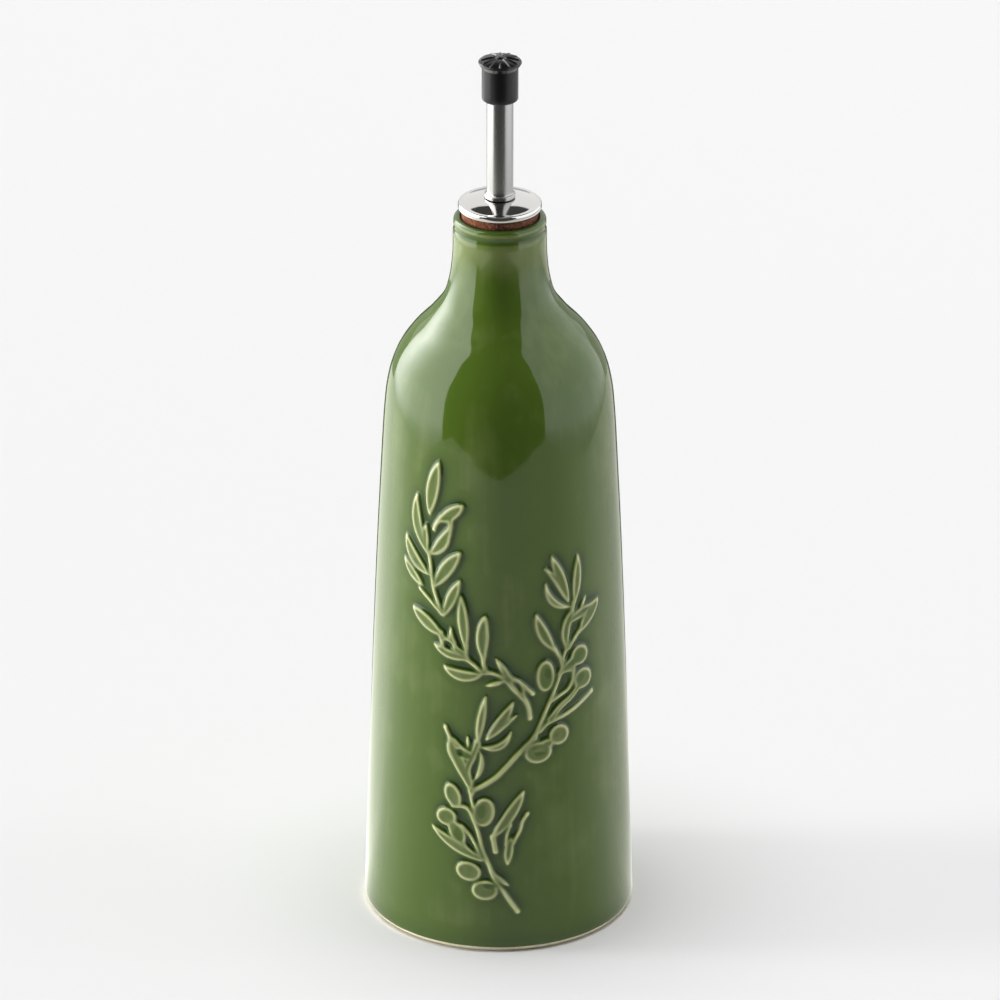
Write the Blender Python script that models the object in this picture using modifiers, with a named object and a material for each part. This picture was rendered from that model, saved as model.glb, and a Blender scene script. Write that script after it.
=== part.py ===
"""Oil cruet: a shut stoneware bottle with an olive branch in low relief on its front.

A cork stops the neck. On it sit a domed steel flange and a steel spout, and a ribbed black cap shuts the
spout's end. Metres, +Z up. The origin is the middle of the foot, and the relief faces -Y.
"""

import math

import bmesh
import bpy

MM = 0.001
GAP = 0.3  # clear space between two pieces that touch

# Bottle, in mm
BOTTLE_SIDES = 60
FOOT_ROUND = 3.1
FOOT_RING_INNER = 36.0
FOOT_RECESS = 1.5
# (height, radius) of the outer wall, from the foot's round edge to the groove under the rim
WALL = (
    (3.1, 45.8),
    (30.0, 45.0),
    (60.0, 44.0),
    (100.0, 42.7),
    (140.0, 41.1),
    (165.0, 39.85),
    (180.0, 39.05),
    (190.0, 38.2),
    (197.0, 36.9),
    (204.0, 34.4),
    (211.0, 29.9),
    (218.0, 23.55),
    (226.0, 18.2),
    (236.0, 16.2),
    (248.6, 15.7),
)
BODY_TOP = 180.0
BODY_RINGS = 5
SHOULDER_TOP = 236.0
SHOULDER_RINGS = 13
RIM_GROOVE = (249.9, 15.25)
RIM_RADIUS = 15.55
RIM_TOP = 253.7
RIM_OUTER_ROUND = 1.6
RIM_INNER_ROUND = 0.6

# Cork, in mm: a plain taper
CORK_TOP = 256.2
CORK_TOP_RADIUS = 13.0
CORK_BOTTOM = 228.0
CORK_BOTTOM_RADIUS = 11.2
CORK_CHAMFER = 0.5

# Flange, in mm
FLANGE_BOTTOM = 256.5
FLANGE_RADIUS = 14.0
FLANGE_EDGE = 2.0
FLANGE_ROUND = 0.8
FLANGE_LIP = 0.4
FLANGE_RISE = 1.7
DOME_POWER = 1.6
DOME_STEPS = 4
SEAT_RADIUS = 5.6

# Spout, in mm
SPOUT_RADIUS = 4.45
SPOUT_TOP = 305.1
TUBE_CHAMFER = 0.5
COLLAR_RADIUS = 5.2
COLLAR_HEIGHT = 1.4
COLLAR_FILLET = 0.6
COLLAR_BEVEL = (0.2, 0.3)  # across and down

# Cap, in mm
CAP_BOTTOM = 295.6
CAP_RADIUS = 6.1
CAP_NECK = 307.1
CAP_RIM = 308.9
CAP_RIM_RADIUS = 7.25
CAP_RIM_ROUND = 0.5
CAP_LIP = 0.6
CAP_CROWN = 310.6
CROWN_STEPS = 4
KNOB_RADIUS = 1.2
KNOB_HEIGHT = 0.5
KNOB_BEVEL = 0.3
RIB_COUNT = 12
RIB_WIDTH = 0.55
RIB_HEIGHT = 0.35
RIB_SUNK = 0.6
RIB_CREST = 0.6  # share of the width that its flat top has
RIB_START = 0.5  # clear of the knob
RIB_STEPS = 4
RIB_END_RISE = 0.3  # share of the height that is left at the rim
POURER_SIDES = 32

# Relief, in mm. Places are (across, up) on the wall, with across measured round it rightwards from the front.
SUNK = 1.0  # how far a raised shape reaches into the wall
DRAFT = 0.3  # how much each side leans in from foot to top
NARROW_TOP = 0.4  # least share of the half width that is left at the top
LEAF_HEIGHT = 0.95
STEM_HEIGHT = 0.85
OLIVE_HEIGHT = 1.0
POINT_HALF = 0.35  # half width at a leaf's pointed ends
LEAF_POWER = 0.7  # below 1 makes a leaf's sine fuller towards its ends
STEM_END = (0.6, 0.5)  # how far a stem's end runs on and how wide it is, as shares of its half width
OLIVE_END = 0.28  # share of the half width at an olive's two ends
LEAF_STEPS = 5
SMALL_LEAF = 9.0  # a leaf shorter than this has fewer steps
SMALL_LEAF_STEPS = 4
OLIVE_STEPS = 7

# Leaves: base, tip, half width, and how far the middle bows to the left of the line from base to tip
UPPER_LEAVES = (
    ((-24.6, 158.5), (-20.8, 179.0), 2.7, 0.5),
    ((-25.2, 144.7), (-30.0, 165.3), 2.3, 2.2),
    ((-25.4, 145.0), (-25.9, 155.5), 1.6, 0.6),
    ((-20.5, 157.5), (-11.6, 164.8), 2.3, -0.2),
    ((-24.0, 144.8), (-17.0, 155.5), 2.4, -1.2),
    ((-24.5, 137.0), (-35.3, 149.2), 2.4, 1.9),
    ((-27.3, 132.3), (-36.2, 140.5), 1.9, 0.4),
    ((-22.3, 133.3), (-12.6, 147.8), 2.6, 0.4),
    ((-19.0, 123.3), (-12.9, 137.7), 2.1, 0.1),
    ((-11.0, 112.0), (-12.9, 132.5), 2.1, 0.15),
    ((-19.8, 116.3), (-32.0, 123.9), 2.5, 0.2),
    ((-14.2, 111.5), (-16.6, 120.0), 1.15, 0.7),
    ((-10.5, 109.3), (-23.3, 112.4), 1.8, 1.0),
    ((-5.15, 109.5), (-4.6, 125.7), 2.35, 0.65),
    ((-5.3, 104.0), (-19.7, 105.0), 2.2, 1.9),
    ((2.0, 101.7), (-4.8, 99.3), 0.95, 0.2),
    ((4.5, 100.5), (-1.4, 110.0), 1.25, 0.0),
)
RIGHT_LEAVES = (
    ((26.6, 125.5), (28.2, 144.0), 1.95, -0.4),
    ((24.3, 127.0), (17.6, 145.6), 2.15, -0.2),
    ((24.0, 128.3), (15.1, 141.5), 1.4, -0.9),
    ((25.0, 125.3), (15.3, 135.9), 1.4, 2.65),
    ((29.3, 123.7), (32.2, 127.8), 0.75, 0.0),
    ((29.5, 116.0), (38.2, 124.9), 2.6, 0.3),
    ((23.6, 110.5), (25.5, 124.5), 1.9, 1.2),
    ((19.3, 110.7), (12.1, 125.4), 2.15, 0.95),
    ((24.0, 119.5), (36.0, 123.5), 1.9, 0.6),
    ((22.0, 102.5), (30.0, 107.0), 2.2, 0.0),
)
LOWER_LEAVES = (
    ((-9.9, 62.0), (-17.6, 79.5), 2.2, -0.3),
    ((-10.3, 76.0), (-10.6, 80.9), 0.7, 0.0),
    ((-7.2, 77.5), (-4.3, 96.2), 1.65, 0.15),
    ((-4.3, 79.8), (5.2, 94.0), 1.9, -0.5),
    ((-4.0, 79.8), (6.5, 89.0), 1.3, 0.5),
    ((-6.3, 77.0), (4.6, 82.8), 1.4, -2.8),
    ((-6.3, 75.5), (-8.6, 63.3), 1.1, 1.45),
    ((-8.3, 72.8), (-17.0, 75.3), 2.3, 0.0),
    ((-5.0, 34.9), (-24.0, 45.3), 2.1, 0.65),
    ((-2.3, 43.3), (8.8, 61.0), 2.2, -0.6),
    ((2.9, 33.2), (4.2, 44.2), 1.7, 0.2),
    ((-2.4, 30.6), (3.9, 24.9), 0.95, -0.2),
)
LEAVES = UPPER_LEAVES + RIGHT_LEAVES + LOWER_LEAVES

# Stems: half width, then the points they pass through
STEMS = (
    (0.9, ((-22.8, 153.9), (-21.8, 156.0), (-20.0, 158.6))),
    (1.1, ((-16.5, 158.5), (-16.6, 156.0), (-17.2, 153.5))),
    (0.65, ((-28.5, 131.0), (-24.3, 127.7), (-20.0, 124.0))),
    (0.9, ((-24.8, 145.3), (-24.1, 140.5), (-23.2, 134.5), (-22.3, 130.5), (-19.6, 124.3))),
    (0.95, ((-19.9, 117.0), (-19.6, 114.5), (-19.4, 111.8))),
    (0.9, ((-19.6, 115.4), (-17.5, 115.1), (-15.5, 114.2))),
    (0.75, ((-11.0, 113.5), (-10.9, 109.5))),
    (1.25, ((-14.5, 112.2), (-12.2, 110.8))),
    (
        0.85,
        ((-14.0, 109.3), (-11.5, 109.0), (-8.5, 107.0), (-5.5, 104.7), (-2.5, 104.3), (0.5, 103.3),
         (3.0, 101.8)),
    ),
    (0.88, ((-5.2, 111.0), (-5.15, 107.5), (-4.4, 104.8))),
    (0.8, ((3.0, 102.6), (6.3, 101.2), (8.5, 99.0), (11.4, 96.0))),
    (0.95, ((2.8, 101.5), (5.0, 98.3), (8.3, 94.6), (9.9, 91.0), (10.4, 87.2))),
    (0.8, ((8.2, 98.6), (8.0, 95.5))),
    (0.95, ((26.2, 126.5), (25.8, 123.5), (24.3, 120.5))),
    (
        0.85,
        ((23.9, 111.3), (22.2, 107.0), (21.7, 103.5), (20.4, 99.5), (18.6, 95.0), (16.4, 90.0),
         (14.2, 85.0), (12.0, 79.8)),
    ),
    (0.75, ((19.2, 111.0), (20.6, 108.5), (21.8, 106.0))),
    (0.7, ((20.8, 101.8), (23.3, 102.6), (26.3, 102.0))),
    (0.8, ((26.3, 102.0), (26.0, 98.5), (24.2, 95.4), (21.0, 93.8), (18.5, 92.6))),
    (0.9, ((24.6, 110.6), (28.2, 114.9), (31.5, 117.3))),
    (0.9, ((14.0, 82.0), (17.0, 84.6), (22.0, 86.0), (27.0, 87.9), (34.3, 91.7))),
    (1.3, ((17.5, 85.8), (21.5, 89.8), (25.3, 92.3), (28.5, 95.5))),
    (1.0, ((12.0, 79.8), (8.5, 76.5), (5.3, 73.0), (2.6, 69.8), (-0.8, 66.0), (-5.0, 62.8), (-9.3, 60.4))),
    (0.8, ((-18.4, 82.6), (-16.9, 79.6), (-14.9, 77.4))),
    (0.6, ((-15.2, 78.5), (-12.2, 75.9))),
    (0.7, ((-17.2, 76.5), (-16.9, 73.5), (-14.7, 70.0), (-12.4, 66.7), (-10.1, 62.5), (-9.1, 59.5))),
    (1.4, ((-7.2, 78.0), (-8.8, 73.0), (-10.6, 68.0), (-9.8, 63.0))),
    (0.65, ((-9.3, 60.2), (-9.3, 57.5), (-8.6, 54.5))),
    (
        0.85,
        ((-15.5, 54.2), (-12.0, 54.2), (-10.0, 53.0), (-8.5, 49.8), (-7.0, 45.3), (-5.4, 39.0),
         (-3.4, 33.5), (-1.8, 29.0), (0.7, 24.6), (3.4, 20.2), (6.4, 15.6)),
    ),
    (0.8, ((-12.5, 46.8), (-10.0, 44.3), (-8.0, 40.8), (-6.3, 37.0))),
    (1.0, ((-13.3, 43.5), (-12.0, 40.3), (-9.9, 37.4), (-6.2, 35.4))),
    (1.05, ((-1.9, 43.5), (-1.1, 38.3))),
    (0.75, ((4.8, 41.5), (7.0, 45.8), (8.0, 49.3), (9.6, 51.8))),
    (0.65, ((2.4, 41.0), (2.7, 44.5), (3.9, 48.0))),
)
STEM_STEP = 5.0  # distance between the sections of a stem

# Olives: centre, half across, half up, and turn in degrees
OLIVES = (
    ((28.9, 106.7), 3.7, 3.8, 0),
    ((30.3, 97.8), 4.0, 3.9, 0),
    ((15.8, 101.9), 3.4, 5.7, 0),
    ((20.8, 79.5), 3.8, 3.8, 0),
    ((16.5, 77.0), 2.2, 1.8, 0),
    ((13.3, 74.2), 4.9, 4.1, 0),
    ((-15.7, 58.0), 3.0, 4.5, 22),
    ((-5.0, 52.7), 3.8, 5.4, -8),
    ((-18.0, 49.6), 3.8, 3.4, 10),
    ((-14.2, 44.5), 2.9, 4.5, 30),
    ((-10.2, 30.4), 4.5, 3.7, -12),
    ((-4.6, 23.7), 4.6, 3.8, 0),
)


def clear_scene():
    for obj in list(bpy.data.objects):
        bpy.data.objects.remove(obj, do_unlink=True)


def new_collection(name):
    collection = bpy.data.collections.new(name)
    bpy.context.scene.collection.children.link(collection)
    return collection


def new_material(name, colour, roughness, metallic=0.0):
    material = bpy.data.materials.new(name)
    material.use_nodes = True
    shader = material.node_tree.nodes["Principled BSDF"]
    shader.inputs["Base Color"].default_value = (*colour, 1.0)
    shader.inputs["Roughness"].default_value = roughness
    shader.inputs["Metallic"].default_value = metallic
    return material


def new_object(name, mesh, collection):
    obj = bpy.data.objects.new(name, mesh)
    collection.objects.link(obj)
    return obj


def arc(centre, radius, start, end, steps):
    """Points in mm on a quarter round or less: (radius, height), from start to end degrees."""
    points = []
    for step in range(steps + 1):
        angle = math.radians(start + (end - start) * step / steps)
        points.append((centre[0] + radius * math.cos(angle), centre[1] + radius * math.sin(angle)))
    return points


def turned(name, profile, sides, material, collection):
    """A solid of revolution from a line of (radius, height) in mm that starts and ends on the axis."""
    mesh = bpy.data.meshes.new(name)
    points = [(radius * MM, 0.0, height * MM) for radius, height in profile]
    mesh.from_pydata(points, [(i, i + 1) for i in range(len(points) - 1)], [])
    obj = new_object(name, mesh, collection)
    screw = obj.modifiers.new("turn", "SCREW")
    screw.axis = "Z"
    screw.steps = sides
    screw.render_steps = sides
    screw.use_merge_vertices = True
    screw.merge_threshold = 0.00001
    screw.use_smooth_shade = True
    obj.data.materials.append(material)
    return obj


def made_solid(obj):
    """Applies the object's modifiers to its mesh."""
    graph = bpy.context.evaluated_depsgraph_get()
    mesh = bpy.data.meshes.new_from_object(obj.evaluated_get(graph))
    obj.modifiers.clear()
    obj.data = mesh


def joined(obj, collection):
    """Makes the object one body with everything in the collection, which is then removed."""
    union = obj.modifiers.new("join", "BOOLEAN")
    union.operation = "UNION"
    union.operand_type = "COLLECTION"
    union.collection = collection
    union.solver = "MANIFOLD"
    made_solid(obj)
    for other in list(collection.objects):
        bpy.data.objects.remove(other, do_unlink=True)
    bpy.data.collections.remove(collection)


def wall_slope(i):
    """The wall's slope at a station: the harmonic mean of its two sides, which gives no waves."""
    if i in (0, len(WALL) - 1):
        j = min(i, len(WALL) - 2)
        return (WALL[j + 1][1] - WALL[j][1]) / (WALL[j + 1][0] - WALL[j][0])
    below = (WALL[i][1] - WALL[i - 1][1]) / (WALL[i][0] - WALL[i - 1][0])
    above = (WALL[i + 1][1] - WALL[i][1]) / (WALL[i + 1][0] - WALL[i][0])
    return 2 * below * above / (below + above)


def wall_radius(height):
    """The outer radius at a height, on a smooth cubic through the stations."""
    i = 0
    while i < len(WALL) - 2 and height > WALL[i + 1][0]:
        i += 1
    span = WALL[i + 1][0] - WALL[i][0]
    t = (height - WALL[i][0]) / span
    start = (2 * t**3 - 3 * t**2 + 1) * WALL[i][1] + (t**3 - 2 * t**2 + t) * span * wall_slope(i)
    end = (3 * t**2 - 2 * t**3) * WALL[i + 1][1] + (t**3 - t**2) * span * wall_slope(i + 1)
    return start + end


def cork_radius(height):
    share = (height - CORK_BOTTOM) / (CORK_TOP - CORK_BOTTOM)
    return CORK_BOTTOM_RADIUS + share * (CORK_TOP_RADIUS - CORK_BOTTOM_RADIUS)


def bottle_profile():
    """From the bottom of the cork's socket, over the rim, down the wall and under the foot to the axis."""
    socket = CORK_BOTTOM - GAP
    mouth = cork_radius(RIM_TOP) + GAP
    points = [(0.0, socket), (cork_radius(socket) + GAP, socket)]
    points += arc((mouth + RIM_INNER_ROUND, RIM_TOP - RIM_INNER_ROUND), RIM_INNER_ROUND, 180, 90, 2)
    points += arc((RIM_RADIUS - RIM_OUTER_ROUND, RIM_TOP - RIM_OUTER_ROUND), RIM_OUTER_ROUND, 90, 0, 4)
    points.append((RIM_GROOVE[1], RIM_GROOVE[0]))
    points.append((WALL[-1][1], WALL[-1][0]))
    for ring in range(SHOULDER_RINGS + 1):
        height = SHOULDER_TOP + (BODY_TOP - SHOULDER_TOP) * ring / SHOULDER_RINGS
        points.append((wall_radius(height), height))
    for ring in range(1, BODY_RINGS + 1):
        height = BODY_TOP + (FOOT_ROUND - BODY_TOP) * ring / BODY_RINGS
        points.append((wall_radius(height), height))
    points += arc((WALL[0][1] - FOOT_ROUND, FOOT_ROUND), FOOT_ROUND, 0, -90, 4)[1:]
    points += [(FOOT_RING_INNER, 0.0), (FOOT_RING_INNER - FOOT_RECESS, FOOT_RECESS), (0.0, FOOT_RECESS)]
    return points


def on_wall(across, up, out):
    """A point of the flat drawing, wrapped on the wall at a height above it."""
    radius = wall_radius(up)
    angle = across / radius
    reach = (radius + out) * MM
    return (reach * math.sin(angle), -reach * math.cos(angle), up * MM)


def strip(name, rows, collection):
    """A closed strip through rows of four points in metres, with a flat face over each end."""
    mesh = bmesh.new()
    corners = [[mesh.verts.new(point) for point in row] for row in rows]
    for first, second in zip(corners, corners[1:]):
        for k in range(4):
            mesh.faces.new((first[k], first[(k + 1) % 4], second[(k + 1) % 4], second[k]))
    mesh.faces.new(corners[0])
    mesh.faces.new(reversed(corners[-1]))
    bmesh.ops.recalc_face_normals(mesh, faces=mesh.faces)
    data = bpy.data.meshes.new(name)
    mesh.to_mesh(data)
    mesh.free()
    return new_object(name, data, collection)


def pad(name, sections, height, collection):
    """A raised strip on the wall: its sections are (across, up, half width) along its middle line."""
    rows = []
    for i, (across, up, half) in enumerate(sections):
        before = sections[max(i - 1, 0)]
        after = sections[min(i + 1, len(sections) - 1)]
        run = (after[0] - before[0], after[1] - before[1])
        length = math.hypot(*run)
        side = (-run[1] / length, run[0] / length)
        top = max(half - DRAFT, NARROW_TOP * half)
        row = []
        for reach, out in ((half + DRAFT, -SUNK), (top, height), (-top, height), (-half - DRAFT, -SUNK)):
            row.append(on_wall(across + side[0] * reach, up + side[1] * reach, out))
        rows.append(row)
    return strip(name, rows, collection)


def leaf_sections(base, tip, half, bow):
    """A leaf's middle line bows by a parabola, and its width follows a sine, pointed at both ends."""
    run = (tip[0] - base[0], tip[1] - base[1])
    length = math.hypot(*run)
    left = (-run[1] / length, run[0] / length)
    sections = []
    steps = LEAF_STEPS if length > SMALL_LEAF else SMALL_LEAF_STEPS
    for step in range(steps + 1):
        t = step / steps
        shift = 4 * t * (1 - t) * bow
        width = max(half * math.sin(math.pi * t) ** LEAF_POWER, POINT_HALF) if 0 < t < 1 else POINT_HALF
        across, up = (base[axis] + run[axis] * t + left[axis] * shift for axis in (0, 1))
        sections.append((across, up, width))
    return sections


def through(a, b, c, d, t):
    """A point between b and c on the smooth curve through all four."""
    return 0.5 * (2 * b + (c - a) * t + (2 * a - 5 * b + 4 * c - d) * t**2 + (3 * b - a - 3 * c + d) * t**3)


def stem_sections(half, points):
    """A stem keeps one width, and its two ends are rounded off."""
    line = []
    for i in range(len(points) - 1):
        near = [points[max(i - 1, 0)], points[i], points[i + 1], points[min(i + 2, len(points) - 1)]]
        steps = max(1, round(math.dist(points[i], points[i + 1]) / STEM_STEP))
        for step in range(steps):
            t = step / steps
            line.append(tuple(through(*[p[axis] for p in near], t) for axis in (0, 1)))
    line.append(points[-1])
    sections = [(*place, half) for place in line]
    return [rounded_end(line[0], line[1], half)] + sections + [rounded_end(line[-1], line[-2], half)]


def rounded_end(end, inner, half):
    """A last, narrower section just past the end of a line, away from its next point."""
    reach = STEM_END[0] * half / math.dist(end, inner)
    return (end[0] + (end[0] - inner[0]) * reach, end[1] + (end[1] - inner[1]) * reach, STEM_END[1] * half)


def olive_sections(centre, half_across, half_up, turn):
    """An ellipse, taken in sections along its height."""
    angle = math.radians(turn)
    sections = []
    for step in range(OLIVE_STEPS + 1):
        around = math.pi * step / OLIVE_STEPS
        along = -math.cos(around) * half_up
        width = max(math.sin(around), OLIVE_END) * half_across
        sections.append((centre[0] - math.sin(angle) * along, centre[1] + math.cos(angle) * along, width))
    return sections


def relief(collection):
    """The olive branch: leaves, stems and fruit, each a strip that stands just under a millimetre proud."""
    for i, leaf in enumerate(LEAVES):
        pad(f"leaf_{i}", leaf_sections(*leaf), LEAF_HEIGHT, collection)
    for i, stem in enumerate(STEMS):
        pad(f"stem_{i}", stem_sections(*stem), STEM_HEIGHT, collection)
    for i, olive in enumerate(OLIVES):
        pad(f"olive_{i}", olive_sections(*olive), OLIVE_HEIGHT, collection)


def make_bottle(collection):
    glaze = new_material("green_glaze", (0.09, 0.16, 0.035), 0.15)
    bottle = turned("bottle", bottle_profile(), BOTTLE_SIDES, glaze, collection)
    made_solid(bottle)
    raised = new_collection("relief")
    relief(raised)
    joined(bottle, raised)
    return bottle


def make_cork(collection):
    cork = new_material("cork", (0.33, 0.16, 0.09), 0.85)
    profile = [
        (0.0, CORK_TOP),
        (CORK_TOP_RADIUS - CORK_CHAMFER, CORK_TOP),
        (CORK_TOP_RADIUS, CORK_TOP - CORK_CHAMFER),
        (CORK_BOTTOM_RADIUS, CORK_BOTTOM),
        (0.0, CORK_BOTTOM),
    ]
    return turned("cork", profile, POURER_SIDES, cork, collection)


def make_flange(collection):
    """A disc with a rounded edge, domed up to a flat seat for the spout."""
    steel = new_material("polished_steel", (0.62, 0.62, 0.61), 0.12, 1.0)
    edge_top = FLANGE_BOTTOM + FLANGE_EDGE
    inner = FLANGE_RADIUS - FLANGE_ROUND
    profile = [(0.0, edge_top + FLANGE_RISE)]
    for step in range(DOME_STEPS):
        share = step / DOME_STEPS
        radius = SEAT_RADIUS + (inner - SEAT_RADIUS) * share
        profile.append((radius, edge_top + FLANGE_RISE * (1 - share**DOME_POWER)))
    profile += arc((inner, edge_top - FLANGE_ROUND), FLANGE_ROUND, 90, 0, 3)
    profile += arc((FLANGE_RADIUS - FLANGE_LIP, FLANGE_BOTTOM + FLANGE_LIP), FLANGE_LIP, 0, -90, 2)
    profile.append((0.0, FLANGE_BOTTOM))
    return turned("flange", profile, POURER_SIDES, steel, collection)


def make_spout(collection):
    """A round tube, shut here by the cap, on a collar that stands on the flange."""
    steel = new_material("brushed_steel", (0.6, 0.6, 0.58), 0.25, 1.0)
    foot = FLANGE_BOTTOM + FLANGE_EDGE + FLANGE_RISE + GAP
    collar = foot + COLLAR_HEIGHT
    profile = [
        (0.0, SPOUT_TOP),
        (SPOUT_RADIUS - TUBE_CHAMFER, SPOUT_TOP),
        (SPOUT_RADIUS, SPOUT_TOP - TUBE_CHAMFER),
        (SPOUT_RADIUS, collar + COLLAR_FILLET),
        (COLLAR_RADIUS - COLLAR_BEVEL[0], collar),
        (COLLAR_RADIUS, collar - COLLAR_BEVEL[1]),
        (COLLAR_RADIUS, foot),
        (0.0, foot),
    ]
    return turned("spout", profile, POURER_SIDES, steel, collection)


def crown_height(radius):
    """The cap's top: a shallow dome."""
    edge = CAP_RIM_RADIUS - CAP_RIM_ROUND
    return CAP_CROWN - (CAP_CROWN - CAP_RIM - CAP_RIM_ROUND) * (radius / edge) ** 2


def cap_profile():
    """From the knob over the crown, down the outside, round the lip, up the blind bore and over its end."""
    bore = SPOUT_RADIUS + GAP
    knob = CAP_CROWN + KNOB_HEIGHT
    points = [(0.0, knob), (KNOB_RADIUS - KNOB_BEVEL, knob)]
    points += [(KNOB_RADIUS, knob - KNOB_BEVEL), (KNOB_RADIUS, crown_height(KNOB_RADIUS))]
    edge = CAP_RIM_RADIUS - CAP_RIM_ROUND
    for step in range(1, CROWN_STEPS):
        radius = KNOB_RADIUS + (edge - KNOB_RADIUS) * step / CROWN_STEPS
        points.append((radius, crown_height(radius)))
    points += arc((edge, CAP_RIM), CAP_RIM_ROUND, 90, -45, 3)
    points.append((CAP_RADIUS, CAP_NECK))
    points += arc((CAP_RADIUS - CAP_LIP, CAP_BOTTOM + CAP_LIP), CAP_LIP, 0, -90, 3)
    points += [(bore, CAP_BOTTOM), (bore, SPOUT_TOP + GAP), (0.0, SPOUT_TOP + GAP)]
    return points


def rib(name, turn, collection):
    """One low rib that runs out over the crown from the knob to the rim, sunk into it."""
    start = KNOB_RADIUS + RIB_START
    end = CAP_RIM_RADIUS - CAP_RIM_ROUND
    rows = []
    for step in range(RIB_STEPS + 1):
        radius = start + (end - start) * step / RIB_STEPS
        rise = RIB_HEIGHT * (1 if step < RIB_STEPS else RIB_END_RISE)
        row = []
        for side, out in ((1, -RIB_SUNK), (RIB_CREST, rise), (-RIB_CREST, rise), (-1, -RIB_SUNK)):
            across = side * RIB_WIDTH / 2
            x = radius * math.cos(turn) - across * math.sin(turn)
            y = radius * math.sin(turn) + across * math.cos(turn)
            row.append((x * MM, y * MM, (crown_height(radius) + out) * MM))
        rows.append(row)
    return strip(name, rows, collection)


def make_cap(collection):
    rubber = new_material("black_cap", (0.012, 0.012, 0.013), 0.4)
    cap = turned("cap", cap_profile(), POURER_SIDES, rubber, collection)
    made_solid(cap)
    ribs = new_collection("ribs")
    for i in range(RIB_COUNT):
        rib(f"rib_{i}", 2 * math.pi * i / RIB_COUNT, ribs)
    joined(cap, ribs)
    return cap


def smooth(obj):
    obj.data.shade_smooth()
    obj.data.set_sharp_from_angle(angle=math.radians(30))


def main():
    clear_scene()
    cruet = new_collection("oil_cruet")
    pourer = [make_cork(cruet), make_flange(cruet), make_spout(cruet), make_cap(cruet)]
    for obj in [make_bottle(cruet)] + pourer:
        if not obj.modifiers:
            smooth(obj)


main()
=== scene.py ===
import math

import bpy
import numpy as np
from mathutils import Matrix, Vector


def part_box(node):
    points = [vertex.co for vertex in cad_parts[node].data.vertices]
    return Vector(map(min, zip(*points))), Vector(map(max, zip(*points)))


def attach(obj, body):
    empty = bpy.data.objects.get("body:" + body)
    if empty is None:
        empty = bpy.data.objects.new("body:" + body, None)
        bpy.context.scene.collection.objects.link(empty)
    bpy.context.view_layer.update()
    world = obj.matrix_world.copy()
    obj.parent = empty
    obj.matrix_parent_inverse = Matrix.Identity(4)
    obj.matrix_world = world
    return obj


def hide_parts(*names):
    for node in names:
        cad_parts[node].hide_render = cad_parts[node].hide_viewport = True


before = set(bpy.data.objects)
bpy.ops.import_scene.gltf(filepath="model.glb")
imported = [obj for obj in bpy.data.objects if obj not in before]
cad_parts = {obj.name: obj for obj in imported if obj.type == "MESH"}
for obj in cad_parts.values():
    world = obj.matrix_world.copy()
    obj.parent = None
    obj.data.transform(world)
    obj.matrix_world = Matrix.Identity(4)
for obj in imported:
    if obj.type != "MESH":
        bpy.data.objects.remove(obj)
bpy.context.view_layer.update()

scene = bpy.context.scene

# The bottle
# Slip-cast stoneware, fired with a green glass glaze that runs thin and pale over the raised olive branch and
# pools dark round it, with painted shade on the branch's right side and painted light and shade at the rim.
# The foot is wiped bare, and the cork stands in the mouth.
MM = 0.001
FOOT_ROUND = 3.1
FOOT_RING_INNER, FOOT_INNER_ROUND = 36.0, 0.5
FOOT_RECESS = 1.5
# (radius, height) of the corner's points, from the ring's inner side and the recess's floor
RECESS_CORNER = ((-0.4, -0.2), (-1.2, 0.0))
# (height, radius) of the outer wall in mm, from the foot's round edge to the groove under the rim
WALL = np.array(
    [
        (3.1, 45.8),
        (30.0, 45.0),
        (60.0, 44.0),
        (100.0, 42.7),
        (140.0, 41.1),
        (165.0, 39.85),
        (180.0, 39.05),
        (190.0, 38.2),
        (197.0, 36.9),
        (204.0, 34.4),
        (211.0, 29.9),
        (218.0, 23.55),
        (226.0, 18.2),
        (236.0, 16.2),
        (243.0, 15.75),
        (248.6, 15.72),
    ]
)
RIM_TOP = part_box("bottle")[1][2] / MM
RIM_RADIUS = 15.55
RIM_OUTER_ROUND = 1.6
RIM_INNER_ROUND = 0.6
GROOVE_HEIGHT, GROOVE_RADIUS, GROOVE_REACH = 249.9, 15.25, 0.95
NECK_FOOT = 236.0
GAP = 0.3
CORK_TOP_RADIUS = (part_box("cork")[1][0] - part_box("cork")[0][0]) / MM / 2
CORK_BOTTOM_RADIUS = 11.2
# The bottle's surface beyond this radius is its outside, not its mouth
OUTER_SIDE_RADIUS = CORK_TOP_RADIUS + 0.5
CORK_TOP, CORK_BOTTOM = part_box("cork")[1][2] / MM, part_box("cork")[0][2] / MM

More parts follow.
